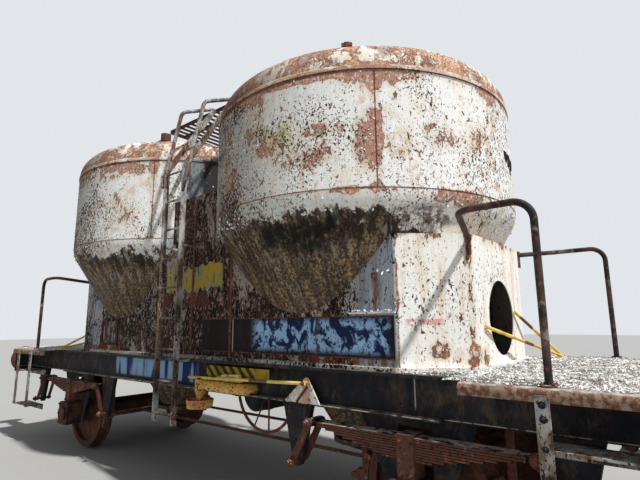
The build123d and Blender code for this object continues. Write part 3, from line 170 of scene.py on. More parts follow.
def on_ring(end, angle, height, radius=TANK_R):
    """A point on a tank's ring, from its angle in degrees and its height above the deck."""
    turn = radians(angle)
    return Vector((end * TANK_X + radius * cos(turn), radius * sin(turn), DECK_Z + height))


def half_round(end):
    """Degrees that turn a place on the near tank to its like on the far one."""
    return 0 if end > 0 else 180


class Graph:
    """One material's node tree, built a value at a time from places on the object."""

    def __init__(self, name):
        self.material = bpy.data.materials.new(name)
        self.material.use_nodes = True
        self.tree = self.material.node_tree
        self.tree.nodes.clear()
        self.shader = self.tree.nodes.new("ShaderNodeBsdfPrincipled")
        output = self.tree.nodes.new("ShaderNodeOutputMaterial")
        self.tree.links.new(self.shader.outputs[0], output.inputs[0])
        places = self.tree.nodes.new("ShaderNodeTexCoord")
        self.place = places.outputs["Object"]
        self.x, self.y, self.z = self.node("ShaderNodeSeparateXYZ", {0: self.place}).outputs
        self.facing = self.node("ShaderNodeSeparateXYZ", {0: places.outputs["Normal"]}).outputs

    def put(self, socket, value):
        if isinstance(value, bpy.types.NodeSocket):
            self.tree.links.new(value, socket)
        else:
            socket.default_value = value

    def node(self, kind, inputs, **settings):
        made = self.tree.nodes.new(kind)
        for name, value in settings.items():
            setattr(made, name, value)
        for key, value in inputs.items():
            self.put(made.inputs[key], value)
        return made

    def math(self, operation, first, second=0.0):
        return self.node("ShaderNodeMath", {0: first, 1: second}, operation=operation).outputs[0]

    def size(self, value):
        """The value without its sign."""
        return self.math("ABSOLUTE", value)

    def over_all(self, operation, values):
        total = values[0]
        for value in values[1:]:
            total = self.math(operation, total, value)
        return total

    def add(self, *values):
        return self.over_all("ADD", values)

    def times(self, *values):
        return self.over_all("MULTIPLY", values)

    def most(self, *values):
        return self.over_all("MAXIMUM", values)

    def less(self, first, second):
        return self.math("SUBTRACT", first, second)

    def between(self, share, first, second):
        """A value that runs from first to second as share goes from 0 to 1."""
        return self.add(first, self.times(share, self.less(second, first)))

    def step(self, value, low, high):
        """0 below low, 1 above high, smooth between; high may be the lower one, which turns it round."""
        if low > high:
            return self.less(1.0, self.step(value, high, low))
        made = self.node("ShaderNodeMapRange", {0: value, 1: low, 2: high}, interpolation_type="SMOOTHSTEP")
        return made.outputs[0]

    def band(self, value, low, high, soft):
        """1 where value lies between low and high, fading over soft on both sides."""
        rising = self.step(value, low - soft, low + soft)
        return self.times(rising, self.step(value, high + soft, high - soft))

    def vector(self, operation, first, second=(0, 0, 0)):
        return self.node("ShaderNodeVectorMath", {0: first, 1: second}, operation=operation).outputs

    def noise(self, scale, detail=4.0, rough=0.55, upright=1, warp=0.0, place=None):
        """Noise at a place on the object; upright under 1 draws it out into upright runs."""
        place = self.vector("MULTIPLY", place or self.place, (1, 1, upright))[0]
        inputs = {"Vector": place, "Scale": scale, "Detail": detail, "Roughness": rough, "Distortion": warp}
        return self.node("ShaderNodeTexNoise", inputs).outputs[0]

    def cloud(self, low, high, *noise, **more):
        """Ragged clouds: 0 where the noise is below low, 1 where it is above high."""
        return self.step(self.noise(*noise, **more), low, high)

    def chips(self, scale, share, upright=1):
        """1 in small ragged islands; share, 0 to 1, is about how much of the surface they take."""
        island = self.noise(scale, 3, 0.66, upright, warp=0.5)
        return self.step(self.add(island, self.times(share, 0.36)), 0.705, 0.72)

    def mix(self, share, first, second):
        """Two colours mixed by share; a colour is another node's, or a tone as it shows on a screen."""
        first, second = (tone(*part) if isinstance(part, tuple) else part for part in (first, second))
        return self.node("ShaderNodeMix", {0: share, 6: first, 7: second}, data_type="RGBA").outputs[2]

    def coat(self, colour, over, *shares):
        """The colour with another one over it, by the product of the shares."""
        return self.mix(self.times(*shares), colour, over)

    def mottled(self, first, second, *cloud):
        """The first colour with clouds of the second."""
        return self.mix(self.cloud(*cloud), first, second)

    def spot(self, centre, radii, soft=0.45):
        """1 inside an ellipsoid round centre, fading outside it."""
        moved = self.vector("SUBTRACT", self.place, centre)[0]
        shrunk = self.vector("DIVIDE", moved, radii)[0]
        length = self.vector("LENGTH", shrunk)["Value"]
        return self.step(length, 1 + soft, 1 - soft)

    def dust_and_sunlit_tops(self, colour, dust, strength):
        """Pale patches on what faces up: dust, and on the springs painted sunlight on their tops."""
        lying = self.step(self.facing[2], 0.55, 0.90)
        patchy = self.cloud(0.40, 0.54, 15, 6, 0.66)
        return self.coat(colour, dust, lying, patchy, strength)

    def finish(self, colour, rough, height=None, depth=0.002, metal=0.0):
        self.put(self.shader.inputs["Base Color"], colour)
        self.put(self.shader.inputs["Roughness"], rough)
        self.put(self.shader.inputs["Metallic"], metal)
        self.shader.inputs["Specular IOR Level"].default_value = SPECULAR
        if height is not None:
            bump = self.node("ShaderNodeBump", {"Height": height, "Distance": depth, "Strength": 1.0})
            self.tree.links.new(bump.outputs[0], self.shader.inputs["Normal"])
        return self.material


RUST_DARK = (62, 40, 33)
RUST_BROWN = (126, 82, 66)
RUST_ORANGE = (172, 108, 72)
CREAM = (236, 222, 192)
SHADOW = (36, 28, 26)


def rust_tint(mat, dark=RUST_DARK, mid=RUST_BROWN, bright=RUST_ORANGE, bloom_at=0.55):
    """Bare rusted steel: brown, with orange bloom and dark pits."""
    bloom = mat.cloud(bloom_at, bloom_at + 0.16, 6, 6, 0.6)
    pits = mat.cloud(0.50, 0.68, 38, 5, 0.6)
    return mat.coat(mat.mix(bloom, mid, bright), dark, pits, 0.7)


def peeling(mat, paint, under, amount, chips, streak=0.7, stain=0.4):
    """Paint that has come off in ragged patches and small chips, with painted shadow at their edges.

    amount runs from 0, whole, to 1, bare, and may change from place to place; chips is the
    share that small chips take where they are thick.
    Gives the colour, the share of bare metal and the height of the paint's skin.
    """
    ragged = mat.noise(9, 10, 0.70, streak, warp=0.3)
    broad = mat.noise(2.4, 5, 0.6, streak)
    worn = mat.add(mat.times(ragged, 0.68), mat.times(broad, 0.32), mat.times(amount, 0.42))
    bare = mat.step(worn, 0.655, 0.664)
    dense = mat.cloud(0.34, 0.66, 1.9, 4, 0.6)
    share = mat.times(mat.add(0.3, mat.times(dense, 0.7)), chips)
    specks = mat.chips(64, mat.times(share, 1.05), streak)
    chipped = mat.most(mat.chips(25, mat.times(share, 0.82), streak), specks)
    off = mat.most(bare, chipped)
    rim_shadow = mat.times(mat.step(worn, 0.646, 0.658), mat.step(worn, 0.684, 0.660))
    near = mat.step(worn, 0.50, 0.655)
    stained = mat.coat(paint, (212, 176, 134), near, stain)
    colour = mat.mix(off, stained, under)
    left_over = mat.times(bare, mat.chips(47, 0.38, streak))
    colour = mat.coat(colour, stained, left_over, 0.75)
    # Painted shadow: a dark line round the bare patches where the paint's edge would cast one, and the chips
    # and specks darkened partly as painted shadow of their edges
    colour = mat.coat(colour, SHADOW, rim_shadow, 0.6)
    colour = mat.coat(colour, SHADOW, mat.add(chipped, specks), 0.48)
    skin = mat.less(1.0, off)
    return colour, off, skin


def tank_wear(mat, crown, ring):
    """How far the tanks' paint has come off: most on the crowns, along the seams and in worn spots."""
    below_crown = mat.band(mat.z, TOP_SEAM_Z - 0.13, TOP_SEAM_Z, 0.06)
    low_seam = mat.band(mat.z, LOW_SEAM_Z - 0.02, LOW_SEAM_Z + 0.015, 0.03)
    seams = mat.times(ring, mat.most(*[
        mat.spot(on_ring(end, SEAM_ANGLE + turn, 1.77), (0.05, 0.05, 9), 0.6)
        for end in ENDS for turn in (0, 180)
    ]))
    patches = [(1, patch) for patch in NEAR_PATCHES + HIDDEN_PATCHES]
    patches += [(-1, patch) for patch in FAR_PATCHES + HIDDEN_PATCHES]
    worn_spots = 0.0
    for end, (turn, height, half_w, half_h, strength) in patches:
        place = mat.spot(on_ring(end, turn, height), (half_w, half_w, half_h))
        worn_spots = mat.most(worn_spots, mat.times(place, strength))
    return mat.add(
        mat.times(crown, 0.42), mat.times(below_crown, 0.22), mat.times(low_seam, 0.15),
        mat.times(worn_spots, 1.12), mat.times(seams, 0.36), -0.045,
    )


def ring_paint(mat, turned_in):
    """Whole paint of the tanks: white with faint grey runs, cream clouds and a greenish tint on the left.

    It is darkened to grey round to the wagon's inner sides as painted shade, and rust bloom runs down from
    bare places.
    """
    runs = mat.noise(22, 5, 0.6, 0.09)
    paint = mat.coat((248, 247, 243), (204, 206, 202), mat.step(runs, 0.45, 0.8), 0.45)
    paint = mat.coat(paint, CREAM, mat.cloud(0.50, 0.70, 3.0, 5, 0.62, 0.7), 0.6)
    paint = mat.coat(paint, (206, 166, 128), mat.cloud(0.54, 0.66, 4.6, 7, 0.66, 0.8), 0.55)
    tinted = mat.times(mat.spot(on_ring(1, -84, 1.80), (0.30, 0.30, 0.16)), mat.cloud(0.42, 0.6, 8, 5))
    paint = mat.coat(paint, (206, 202, 130), tinted, 0.6)
    # Painted shade: darker grey round to the wagon's inner sides
    paint = mat.coat(paint, (138, 136, 128), mat.step(turned_in, radians(14), radians(62)), 0.85)
    weeping = mat.times(mat.cloud(0.55, 0.72, 24, 4, 0.6, 0.07), mat.cloud(0.42, 0.60, 2.6, 3))
    return mat.coat(paint, (208, 156, 108), weeping, 0.55)


def crown_marks(mat, colour, crown, turned_in):
    """Crown: cream flecks, burnt clouds and a dull grey inner side that is painted shade. Its lip is worn,
    with a painted shadow line under it.
    """
    lip = mat.band(mat.z, TOP_SEAM_Z - 0.034, TOP_SEAM_Z, 0.003)
    lip_shadow_band = mat.band(mat.z, TOP_SEAM_Z - 0.062, TOP_SEAM_Z - 0.035, 0.008)
    colour = mat.coat(colour, (240, 226, 202), crown, mat.cloud(0.56, 0.60, 30, 8, 0.74), 0.8)
    colour = mat.coat(colour, (140, 94, 78), crown, mat.cloud(0.50, 0.57, 4.5, 8, 0.70), 0.70)
    # Painted shade: the crown darker round to its inner side
    colour = mat.coat(colour, (108, 82, 70), crown, mat.step(turned_in, radians(12), radians(55)), 0.72)
    colour = mat.coat(colour, (70, 50, 44), crown, mat.cloud(0.61, 0.64, 46, 5, 0.7), 0.7)
    colour = mat.coat(colour, (206, 160, 128), lip, mat.cloud(0.36, 0.60, 7, 5), 0.75)
    # Painted shadow: a dark line under the lip
    return mat.coat(colour, (74, 50, 42), lip_shadow_band, 0.66)


def cone_marks(mat, colour, angle):
    """Cones: dark brown grime in slanted runs, darkest at the top edge, with a jagged border; its tones are
    darker than the grime's own, partly as painted shade under the tank.
    """
    slanted = {0: mat.times(angle, 1.6), 1: mat.times(mat.z, 0.28)}
    slope = mat.node("ShaderNodeCombineXYZ", slanted).outputs[0]
    lines = mat.noise(11, 8, 0.70, place=slope)
    fine = mat.noise(40, 5, 0.66, place=slope)
    # Grime tones darker than the grime's own: partly painted shade on these downward faces
    grime = mat.mix(mat.step(lines, 0.40, 0.60), (170, 142, 102), (74, 58, 46))
    mottled = mat.noise(9, 9, 0.72)
    grime = mat.coat(grime, (96, 62, 40), mat.step(mottled, 0.52, 0.58), 0.6)
    grime = mat.coat(grime, (28, 22, 19), mat.cloud(0.47, 0.51, 44, 6, 0.74), 0.86)
    scratched = mat.times(mat.step(fine, 0.58, 0.62), mat.step(angle, radians(-72), radians(-92)))
    grime = mat.coat(grime, (150, 148, 134), scratched, 0.7)
    faced_out = mat.step(mat.size(angle), radians(60), radians(26))
    jag = mat.add(mat.z, mat.times(mat.less(mat.noise(6, 8, 0.70, 0.6), 0.5), 0.62),
                  mat.times(faced_out, 0.17))
    grimy = mat.step(jag, LOW_SEAM_Z - 0.12, LOW_SEAM_Z - 0.16)
    colour = mat.coat(colour, grime, grimy, 0.96)
    edge = mat.band(jag, LOW_SEAM_Z - 0.30, LOW_SEAM_Z - 0.14, 0.03)
    colour = mat.coat(colour, (46, 34, 28), edge, mat.step(lines, 0.38, 0.52), 0.7)
    # Pale runs that hang from the knuckle down into the grime
    hanging = mat.times(mat.band(mat.z, LOW_SEAM_Z - 0.46, LOW_SEAM_Z - 0.10, 0.08),
                        mat.cloud(0.56, 0.61, 16, 6, 0.66, place=slope))
    return mat.coat(colour, (160, 158, 146), hanging, 0.75)


def knuckle_marks(mat, colour):
    """Old black smears under the near tank's knuckle, and dark brown clouds under its right part."""
    smear = mat.most(
        mat.spot(on_ring(1, -86, 1.00, 1.36), (0.22, 0.22, 0.09)),
        mat.spot(on_ring(1, -75, 0.97, 1.34), (0.26, 0.26, 0.12)),
        mat.spot(on_ring(1, -66, 1.01, 1.36), (0.16, 0.16, 0.14)),
    )
    smear = mat.times(smear, mat.cloud(0.36, 0.54, 7, 5, 0.6))
    colour = mat.coat(colour, (22, 18, 18), smear, 0.9)
    dark_brown_cloud = mat.spot(on_ring(1, -35, 1.10, 1.38), (0.28, 0.28, 0.07))
    return mat.coat(colour, (84, 54, 44), dark_brown_cloud, mat.cloud(0.44, 0.52, 9, 9, 0.72), 0.8)


def gap_painted_shade(mat, colour, ring):
    """The narrow space between the tanks, as painted shade: blue-grey, and nearly black where they come
    closest.
    """
    from_middle = mat.add(mat.size(mat.x), mat.times(mat.noise(7, 6, 0.66), 0.06))
    # Painted shade: blue-grey, the white paint's look in shade
    colour = mat.coat(colour, (104, 112, 124), mat.step(from_middle, 0.40, 0.36), ring, 0.82)
    # Painted shade: nearly black where the tanks come closest
    return mat.coat(colour, (46, 38, 36), mat.step(from_middle, 0.28, 0.25), ring, 0.92)


def tank_paint(mat):
    """Off-white tank paint, rusty on the crowns, stained and streaked on the cones."""
    from_axis = mat.less(mat.size(mat.x), TANK_X)
    outward = mat.times(from_axis, mat.math("SIGN", mat.x))
    angle = mat.math("ARCTAN2", mat.y, outward)
    turned_in = mat.less(mat.size(angle), radians(52))
    crown = mat.step(mat.z, TOP_SEAM_Z - 0.01, TOP_SEAM_Z + 0.01)
    ring = mat.band(mat.z, LOW_SEAM_Z, TOP_SEAM_Z, 0.02)
    crown_rust = rust_tint(mat, (112, 74, 62), (172, 126, 106), (214, 164, 126), 0.48)
    bare_ring = rust_tint(mat, (122, 84, 70), (184, 138, 120), (208, 154, 120), 0.54)
    under = mat.mix(crown, bare_ring, crown_rust)
    # More chips round to the inner sides: wear, and a darkening there that is painted shade
    thick = mat.add(0.37, mat.times(mat.step(turned_in, radians(10), radians(60)), 0.27),
                    mat.times(crown, -0.1))
    paint = ring_paint(mat, turned_in)
    colour, off, skin = peeling(mat, paint, under, tank_wear(mat, crown, ring), thick)
    colour = crown_marks(mat, colour, crown, turned_in)
    colour = cone_marks(mat, colour, angle)
    colour = knuckle_marks(mat, colour)
    colour = gap_painted_shade(mat, colour, ring)
    height = mat.add(skin, mat.times(mat.noise(60, 4, 0.6), 0.30))
    return mat.finish(colour, mat.add(0.60, mat.times(off, 0.25)), height, 0.0032)


def skirt_wear(mat, side, along, up, on_plinth):
    """How far the skirt's paint has come off: mostly on the sides, at edges and spots on the facets."""
    edge = mat.band(along, SKIRT_CORNER_X - 0.012, SKIRT_CORNER_X + 0.020, 0.012)
    crease = mat.band(along, SKIRT_END_X - 0.042, SKIRT_END_X - 0.010, 0.010)
    whole = mat.most(mat.times(mat.step(along, 1.95, 2.15), 0.34), mat.times(on_plinth, 0.7))
    middle = mat.times(mat.step(along, 0.80, 0.55), 0.10)
    low_down = mat.times(mat.step(up, 0.9, 0.1), 0.08)
    side_amount = mat.add(0.34, low_down, middle, mat.times(whole, -1.0))
    end_amount = mat.add(-0.08, mat.times(edge, 0.60), mat.times(crease, 0.34),
                         mat.times(mat.step(up, 0.88, 0.97), 0.34))
    # Bare spots on the right facets: place along the wagon, across it, height, half sizes
    spots = mat.most(*[
        mat.spot((end * x, -end * y, DECK_Z + height), (half_w, 0.2, half_h))
        for end in ENDS
        for x, y, height, half_w, half_h in (
            (2.65, 0.71, 0.14, 0.07, 0.07), (2.73, 0.63, 0.10, 0.04, 0.06), (2.82, 0.54, 0.12, 0.04, 0.06),
            (2.84, 0.45, 0.06, 0.2, 0.05), (2.44, 0.92, 0.62, 0.04, 0.16))
    ])
    amount = mat.between(side, end_amount, side_amount)
    return mat.add(amount, mat.times(spots, 0.46))


def skirt_whole_paint(mat, side, along, on_plinth):
    """Whole paint of the skirt: blue-grey on the sides, which is painted shade on the pale paint, dull
    towards the middle with grime and painted shade, whiter on the plinth towards the ends as painted
    sunlight, and cream on the facets.
    """
    runs = mat.noise(17, 6, 0.62, 0.12)
    # Painted shade: the side walls blue-grey, the pale paint's look in shade
    blue = mat.mix(mat.step(runs, 0.40, 0.66), (164, 172, 180), (132, 138, 146))
    # Darker grey towards the middle: grime, and partly painted shade
    blue = mat.coat(blue, (72, 72, 76), mat.step(along, 1.7, 0.9), 0.55)
    # Painted sunlight: the plinth whiter towards the ends
    plinth_sunlight = mat.between(mat.step(along, 0.85, 1.25), 0.35, 1.0)
    blue = mat.coat(blue, (226, 220, 208), on_plinth, plinth_sunlight)
    cream = mat.coat((248, 246, 240), (226, 208, 178), mat.step(runs, 0.46, 0.72), 0.6)
    cream = mat.coat(cream, (212, 160, 116), mat.cloud(0.57, 0.70, 13, 5, 0.6, 0.06), 0.5)
    return mat.mix(side, cream, blue)


def side_marks(mat, colour, side, along, up):
    """Rust runs down the side walls, under the stub and from the plinth's top."""
    run_share = mat.times(side, mat.cloud(0.56, 0.66, 20, 4, 0.6, 0.05), 0.7)
    colour = mat.coat(colour, (104, 62, 42), run_share)
    stub_run = mat.times(mat.band(along, 2.232, 2.284, 0.014), mat.band(up, 0.42, 0.67, 0.02), side)
    stub_run = mat.times(stub_run, mat.cloud(0.32, 0.52, 34, 5, 0.6, 0.12))
    drips = mat.cloud(0.49, 0.55, 15, 3, 0.5, 0.04)
    drips = mat.times(mat.band(along, 1.45, 2.35, 0.03), drips, mat.band(up, 0.03, 0.085, 0.01), side)
    return mat.coat(colour, (128, 66, 36), mat.most(stub_run, drips), 0.85)


def worn_marks(mat, colour, side, up):
    """Worn yellow patch between the tanks over a dull red strip, and a faint red smear on the near facet."""
    ragged = mat.add(up, mat.times(mat.less(mat.noise(10, 6, 0.7), 0.5), 0.22))
    yellow = mat.times(mat.band(mat.x, -0.49, 0.48, 0.02), mat.band(ragged, 0.69, 0.94, 0.006), side)
    streaks = mat.noise(13, 8, 0.70, 0.40, warp=0.6)
    colour = mat.coat(colour, (140, 146, 120), yellow, mat.step(streaks, 0.42, 0.46), 0.85)
    colour = mat.coat(colour, (176, 146, 36), yellow, mat.step(streaks, 0.51, 0.53), 0.92)
    strip = mat.times(mat.band(mat.x, -0.52, 0.42, 0.02), mat.band(up, 0.53, 0.66, 0.02), side)
    colour = mat.coat(colour, (96, 50, 42), strip, mat.cloud(0.42, 0.50, 8, 6, 0.6), 0.85)
    smear = mat.times(mat.band(mat.x, 2.475, 2.66, 0.02), mat.band(up, 0.315, 0.360, 0.006),
                      mat.step(mat.y, 0.0, -0.1), mat.cloud(0.40, 0.56, 12, 6, 0.66),
                      mat.less(1.0, side))
    return mat.coat(colour, (204, 96, 86), smear, 0.6)


def skirt_paint(mat):
    """Skirt paint, mostly peeled on the side walls, where it is painted blue-grey as shade, cream and nearly
    whole on the end facets.
    """
    side = mat.step(mat.size(mat.y), SKIRT_Y - 0.012, SKIRT_Y - 0.009)
    along = mat.size(mat.x)
    up = mat.less(mat.z, DECK_Z)
    on_plinth = mat.step(up, PLINTH_H + 0.005, PLINTH_H - 0.005)
    patchy = mat.noise(6, 8, 0.70, 0.6)
    under_side = mat.mix(mat.step(patchy, 0.46, 0.56), (26, 22, 22), (66, 44, 36))
    under_side = mat.coat(under_side, (112, 74, 52), mat.cloud(0.58, 0.62, 11, 7, 0.7, 0.4))
    under = mat.mix(side, rust_tint(mat, RUST_DARK, (150, 104, 84), (200, 136, 94)), under_side)
    paint = skirt_whole_paint(mat, side, along, on_plinth)
    amount = skirt_wear(mat, side, along, up, on_plinth)
    thick = mat.between(side, 0.31, 0.60)
    colour, off, skin = peeling(mat, paint, under, amount, thick, 0.55)
    colour = side_marks(mat, colour, side, along, up)
    colour = worn_marks(mat, colour, side, up)
    height = mat.add(skin, mat.times(mat.noise(50, 4, 0.6), 0.3))
    return mat.finish(colour, mat.add(0.6, mat.times(off, 0.25)), height, 0.0028)


def panel_paint(mat):
    """Dark brown number band, left bare, with worn pale spray on its right part."""
    base = mat.mottled((24, 17, 18), (42, 29, 28), 0.4, 0.65, 6, 6, 0.6, 0.5)
    cloud = mat.noise(8.5, 4, 0.55, 0.8, warp=1.0)
    reach = mat.times(mat.band(mat.x, 0.96, 2.36, 0.06),
                      mat.band(mat.z, DECK_Z + 0.12, DECK_Z + 0.36, 0.035))
    colour = mat.coat(base, (20, 42, 84), reach, 0.85)
    spray = mat.times(mat.step(cloud, 0.44, 0.52), reach, mat.cloud(0.36, 0.50, 30, 5, 0.6))
    colour = mat.coat(colour, (166, 204, 242), spray, 0.9)
    colour, _, skin = peeling(mat, colour, (58, 34, 28), -0.06, 0.24, 0.3, 0.1)
    colour = mat.coat(colour, (190, 190, 186), mat.band(mat.x, 0.655, 0.668, 0.003), 0.7)
    return mat.finish(colour, 0.65, skin, 0.0014)


def placard_paint(mat):
    """Placard holders: dark frame round a pale, rust-run plate."""
    along = mat.size(mat.less(mat.size(mat.x), PLACARD_X))
    up = mat.less(mat.z, DECK_Z)
    plate = mat.times(mat.step(along, PLACARD_HALF_W - 0.038, PLACARD_HALF_W - 0.044),
                      mat.step(up, 0.120, 0.126))
    rust = rust_tint(mat, (38, 28, 26), (74, 50, 42), (112, 70, 50))
    pale = mat.coat(rust, (146, 146, 146), mat.cloud(0.47, 0.54, 11, 8, 0.70, 0.6), 0.85)
    colour = mat.mix(plate, rust, pale)
    return mat.finish(colour, 0.7, mat.noise(50, 5, 0.6), 0.0012)


def frame_paint(mat):
    """Near-black frame paint with dust, rust and pale runs."""
    base = mat.mottled((33, 35, 41), (50, 48, 50), 0.4, 0.65, 4, 6, 0.6, 0.5)
    rusty = rust_tint(mat, (44, 30, 26), (84, 58, 49), (120, 80, 60))
    colour, _, skin = peeling(mat, base, rusty, 0.05, 0.30, 0.6, 0.1)
    colour = mat.coat(colour, (132, 124, 114), mat.cloud(0.60, 0.78, 26, 4, 0.6, 0.15), 0.35)
    # Blue-white overspray on the left part of the near sole bar, and one thin pale line on the right part
    near_side = mat.step(mat.y, -0.90, -0.97)
    reach = mat.times(near_side, mat.band(mat.x, -1.45, 0.18, 0.03), mat.band(mat.z, 1.05, 1.24, 0.012))
    stripes = mat.cloud(0.42, 0.52, 9, 4, 0.5, 0.12, warp=0.4)
    colour = mat.coat(colour, (20, 50, 110), reach, 0.8)
    colour = mat.coat(colour, (156, 190, 222), reach, stripes, 0.85)
    line = mat.times(near_side, mat.band(mat.x, 2.557, 2.566, 0.003), mat.band(mat.z, 1.06, 1.25, 0.02))
    colour = mat.coat(colour, (196, 194, 188), line, 0.8)
    top = mat.times(mat.band(mat.z, SOLE_LOW + 0.008, SOLE_LOW + 0.0125, 0.001),
                    mat.cloud(0.44, 0.52, 14, 6, 0.6))
    colour = mat.coat(colour, (206, 196, 180), top, 0.8)
    colour = mat.dust_and_sunlit_tops(colour, (120, 112, 104), 0.6)
    return mat.finish(colour, 0.68, skin, 0.0014)


def rusty_steel(mat):
    """Bare rusted steel of springs, links, rails and treads, with pale flecks that are painted highlights.
    """
    colour = rust_tint(mat, (46, 33, 28), (104, 68, 55), (150, 98, 72))
    # Pale flecks: painted highlights, as on the lit edges of the spring leaves
    colour = mat.coat(colour, (160, 150, 140), mat.cloud(0.60, 0.66, 17, 6, 0.65), 0.5)
    colour = mat.dust_and_sunlit_tops(colour, (178, 160, 146), 0.7)
    return mat.finish(colour, 0.78, mat.noise(70, 5, 0.6), 0.002)


def leaf_pack_painted_light(mat):
    """The spring packs behind the leaves' edges: nearly black as painted shade in the grooves, with pale
    patches on what faces up that are dust and painted sunlight.
    """
    colour = rust_tint(mat, (22, 17, 16), (34, 25, 22), (60, 40, 32))
    colour = mat.dust_and_sunlit_tops(colour, (214, 196, 180), 0.92)
    return mat.finish(colour, 0.82, mat.noise(70, 5, 0.6), 0.002)


def rail_paint(mat):
    """Handrails: nearly black old paint, rusty, with pale worn stretches."""
    base = mat.mottled((46, 42, 42), (84, 66, 58), 0.42, 0.6, 6, 5, 0.6)
    colour = mat.coat(base, (152, 144, 138), mat.cloud(0.56, 0.62, 5, 7, 0.62), 0.7)
    colour = mat.coat(colour, (122, 78, 58), mat.cloud(0.58, 0.64, 24, 6, 0.6))
    return mat.finish(colour, 0.62, mat.noise(60, 5, 0.6), 0.0012)


def walkway_steel(mat):
    """Dark rusty walkway."""
    colour = rust_tint(mat, (30, 25, 25), (62, 45, 40), (112, 72, 54))
    return mat.finish(colour, 0.78, mat.noise(60, 5, 0.6), 0.0016)


def deck_dust(mat):
    """End decks: rust under pale dust, with rusty lips."""
    rust = rust_tint(mat, (60, 44, 38), (118, 82, 66), (160, 112, 84))
    dust = mat.cloud(0.38, 0.54, 5, 8, 0.66)
    top = mat.step(mat.z, DECK_Z - 0.012, DECK_Z - 0.002)
    pale = mat.mottled((200, 196, 188), (150, 140, 130), 0.4, 0.6, 30, 5, 0.6)
    rust = mat.coat(rust, (166, 146, 126), mat.less(1.0, top), mat.cloud(0.47, 0.54, 26, 7, 0.70), 0.7)
    colour = mat.coat(rust, pale, dust, top, 0.85)
    return mat.finish(colour, 0.85, mat.noise(60, 5, 0.6), 0.002)


def pale_pipe(mat):
    """Chipped pale grey paint of the ladders and hoops."""
    base = mat.mottled((178, 181, 186), (66, 62, 62), 0.40, 0.56, 5, 5, 0.6, 0.6)
    colour, _, skin = peeling(mat, base, rust_tint(mat), 0.20, 0.4, 0.5, 0.3)
    return mat.finish(colour, 0.62, skin, 0.001)


def yellow_paint(mat):
    """Faded yellow paint with rusty chips."""
    base = mat.mottled((232, 190, 96), (214, 154, 82), 0.4, 0.65, 8, 5, 0.6)
    cup = mat.times(mat.step(mat.z, CUP_TOP_Z + 0.01, CUP_TOP_Z - 0.01),
                    mat.cloud(0.38, 0.52, 9, 6, 0.66))
    base = mat.coat(base, (190, 124, 96), cup, 0.85)
    colour, _, skin = peeling(mat, base, rust_tint(mat), 0.035, 0.4, 1, 0.3)
    return mat.finish(colour, 0.6, skin, 0.001)


def banded_yellow(mat):
    """Lever and prop bars: yellow with a few dark bands along them."""
    base = mat.mottled((236, 212, 116), (212, 166, 84), 0.4, 0.65, 8, 5, 0.6)
    colour = mat.coat(base, (70, 50, 42), mat.cloud(0.60, 0.62, 3.2, 2, 0.4), 0.85)
    return mat.finish(colour, 0.6, mat.noise(40, 4, 0.6), 0.0006)


def hazard_paint(mat):
    """Striped plates: yellow with slanted black stripes on the right, the wedge in front plain cream."""
    slant = mat.add(mat.size(mat.x), mat.z)
    wave = mat.math("SINE", mat.times(slant, 2 * pi / 0.11))
    black = mat.times(mat.step(wave, -0.12, 0.12), mat.step(mat.size(mat.x), 1.12, 1.08))
    base = mat.mottled((172, 148, 44), (128, 106, 40), 0.4, 0.65, 8, 5, 0.6)
    colour = mat.coat(base, (30, 30, 30), black, 0.92)
    front = mat.step(mat.size(mat.y), FLANGE_Y + 0.0072, FLANGE_Y + 0.0080)
    cream = mat.mottled((232, 222, 142), (188, 164, 96), 0.46, 0.62, 18, 6, 0.6)
    colour = mat.mix(front, colour, cream)
    colour = mat.coat(colour, (76, 54, 42), mat.cloud(0.56, 0.66, 14, 6, 0.65), 0.6)
    return mat.finish(colour, 0.66, mat.noise(40, 4, 0.6), 0.0008)


def bracket_paint_sunlit(mat):
    """Triangular brackets: grey-blue paint, painted pale cream as sunlight on their faces, and a rusty right
    part.
    """
    # Painted sunlight: base tones lighter than the paint's own
    base = mat.mottled((232, 230, 222), (176, 174, 168), 0.4, 0.65, 9, 5, 0.6)
    lean = mat.add(mat.size(mat.x), mat.times(mat.noise(12, 4), 0.06))
    colour = mat.coat(base, (190, 140, 110), mat.band(lean, 1.66, 1.74, 0.02), 0.8)
    colour, _, skin = peeling(mat, colour, rust_tint(mat), 0.10, 0.4, 1, 0.3)
    return mat.finish(colour, 0.66, skin, 0.001)


def wheel_steel(mat):
    """Forged steel, brown with rust."""
    colour = rust_tint(mat, (40, 31, 28), (92, 62, 50), (128, 84, 60))
    return mat.finish(colour, 0.7, mat.noise(50, 5, 0.6), 0.0015, metal=0.25)


def box_iron(mat):
    """Greasy cast iron of the axle boxes."""
    colour = mat.mottled((46, 40, 38), (84, 60, 50), 0.45, 0.6, 9, 5, 0.6)
    return mat.finish(colour, 0.66, mat.noise(45, 5, 0.6), 0.0018, metal=0.1)


def loose_paint(mat):
    """Loose flakes of white paint, some grey, some with rust."""
    colour = mat.mottled((246, 245, 242), (196, 196, 194), 0.45, 0.6, 9, 3, 0.6)
    colour = mat.coat(colour, (150, 112, 88), mat.cloud(0.62, 0.68, 15, 4, 0.6))
    return mat.finish(colour, 0.7, mat.noise(60, 3), 0.0006)


def hole_painted_shade(mat):
    """Near-black painted shade for the insides of dents and holes."""
    colour = mat.mix(mat.noise(30, 4), (14, 12, 12), (38, 30, 28))
    return mat.finish(colour, 0.9, mat.noise(60, 3), 0.001)


def made(finish):
    """The finish's material, under its own name."""
    return finish(Graph(finish.__name__))


FINISHES = {finish.__name__: made(finish) for finish in (
    tank_paint, skirt_paint, panel_paint, frame_paint, rusty_steel, pale_pipe,
    yellow_paint, wheel_steel, box_iron, loose_paint, hole_painted_shade,
)}

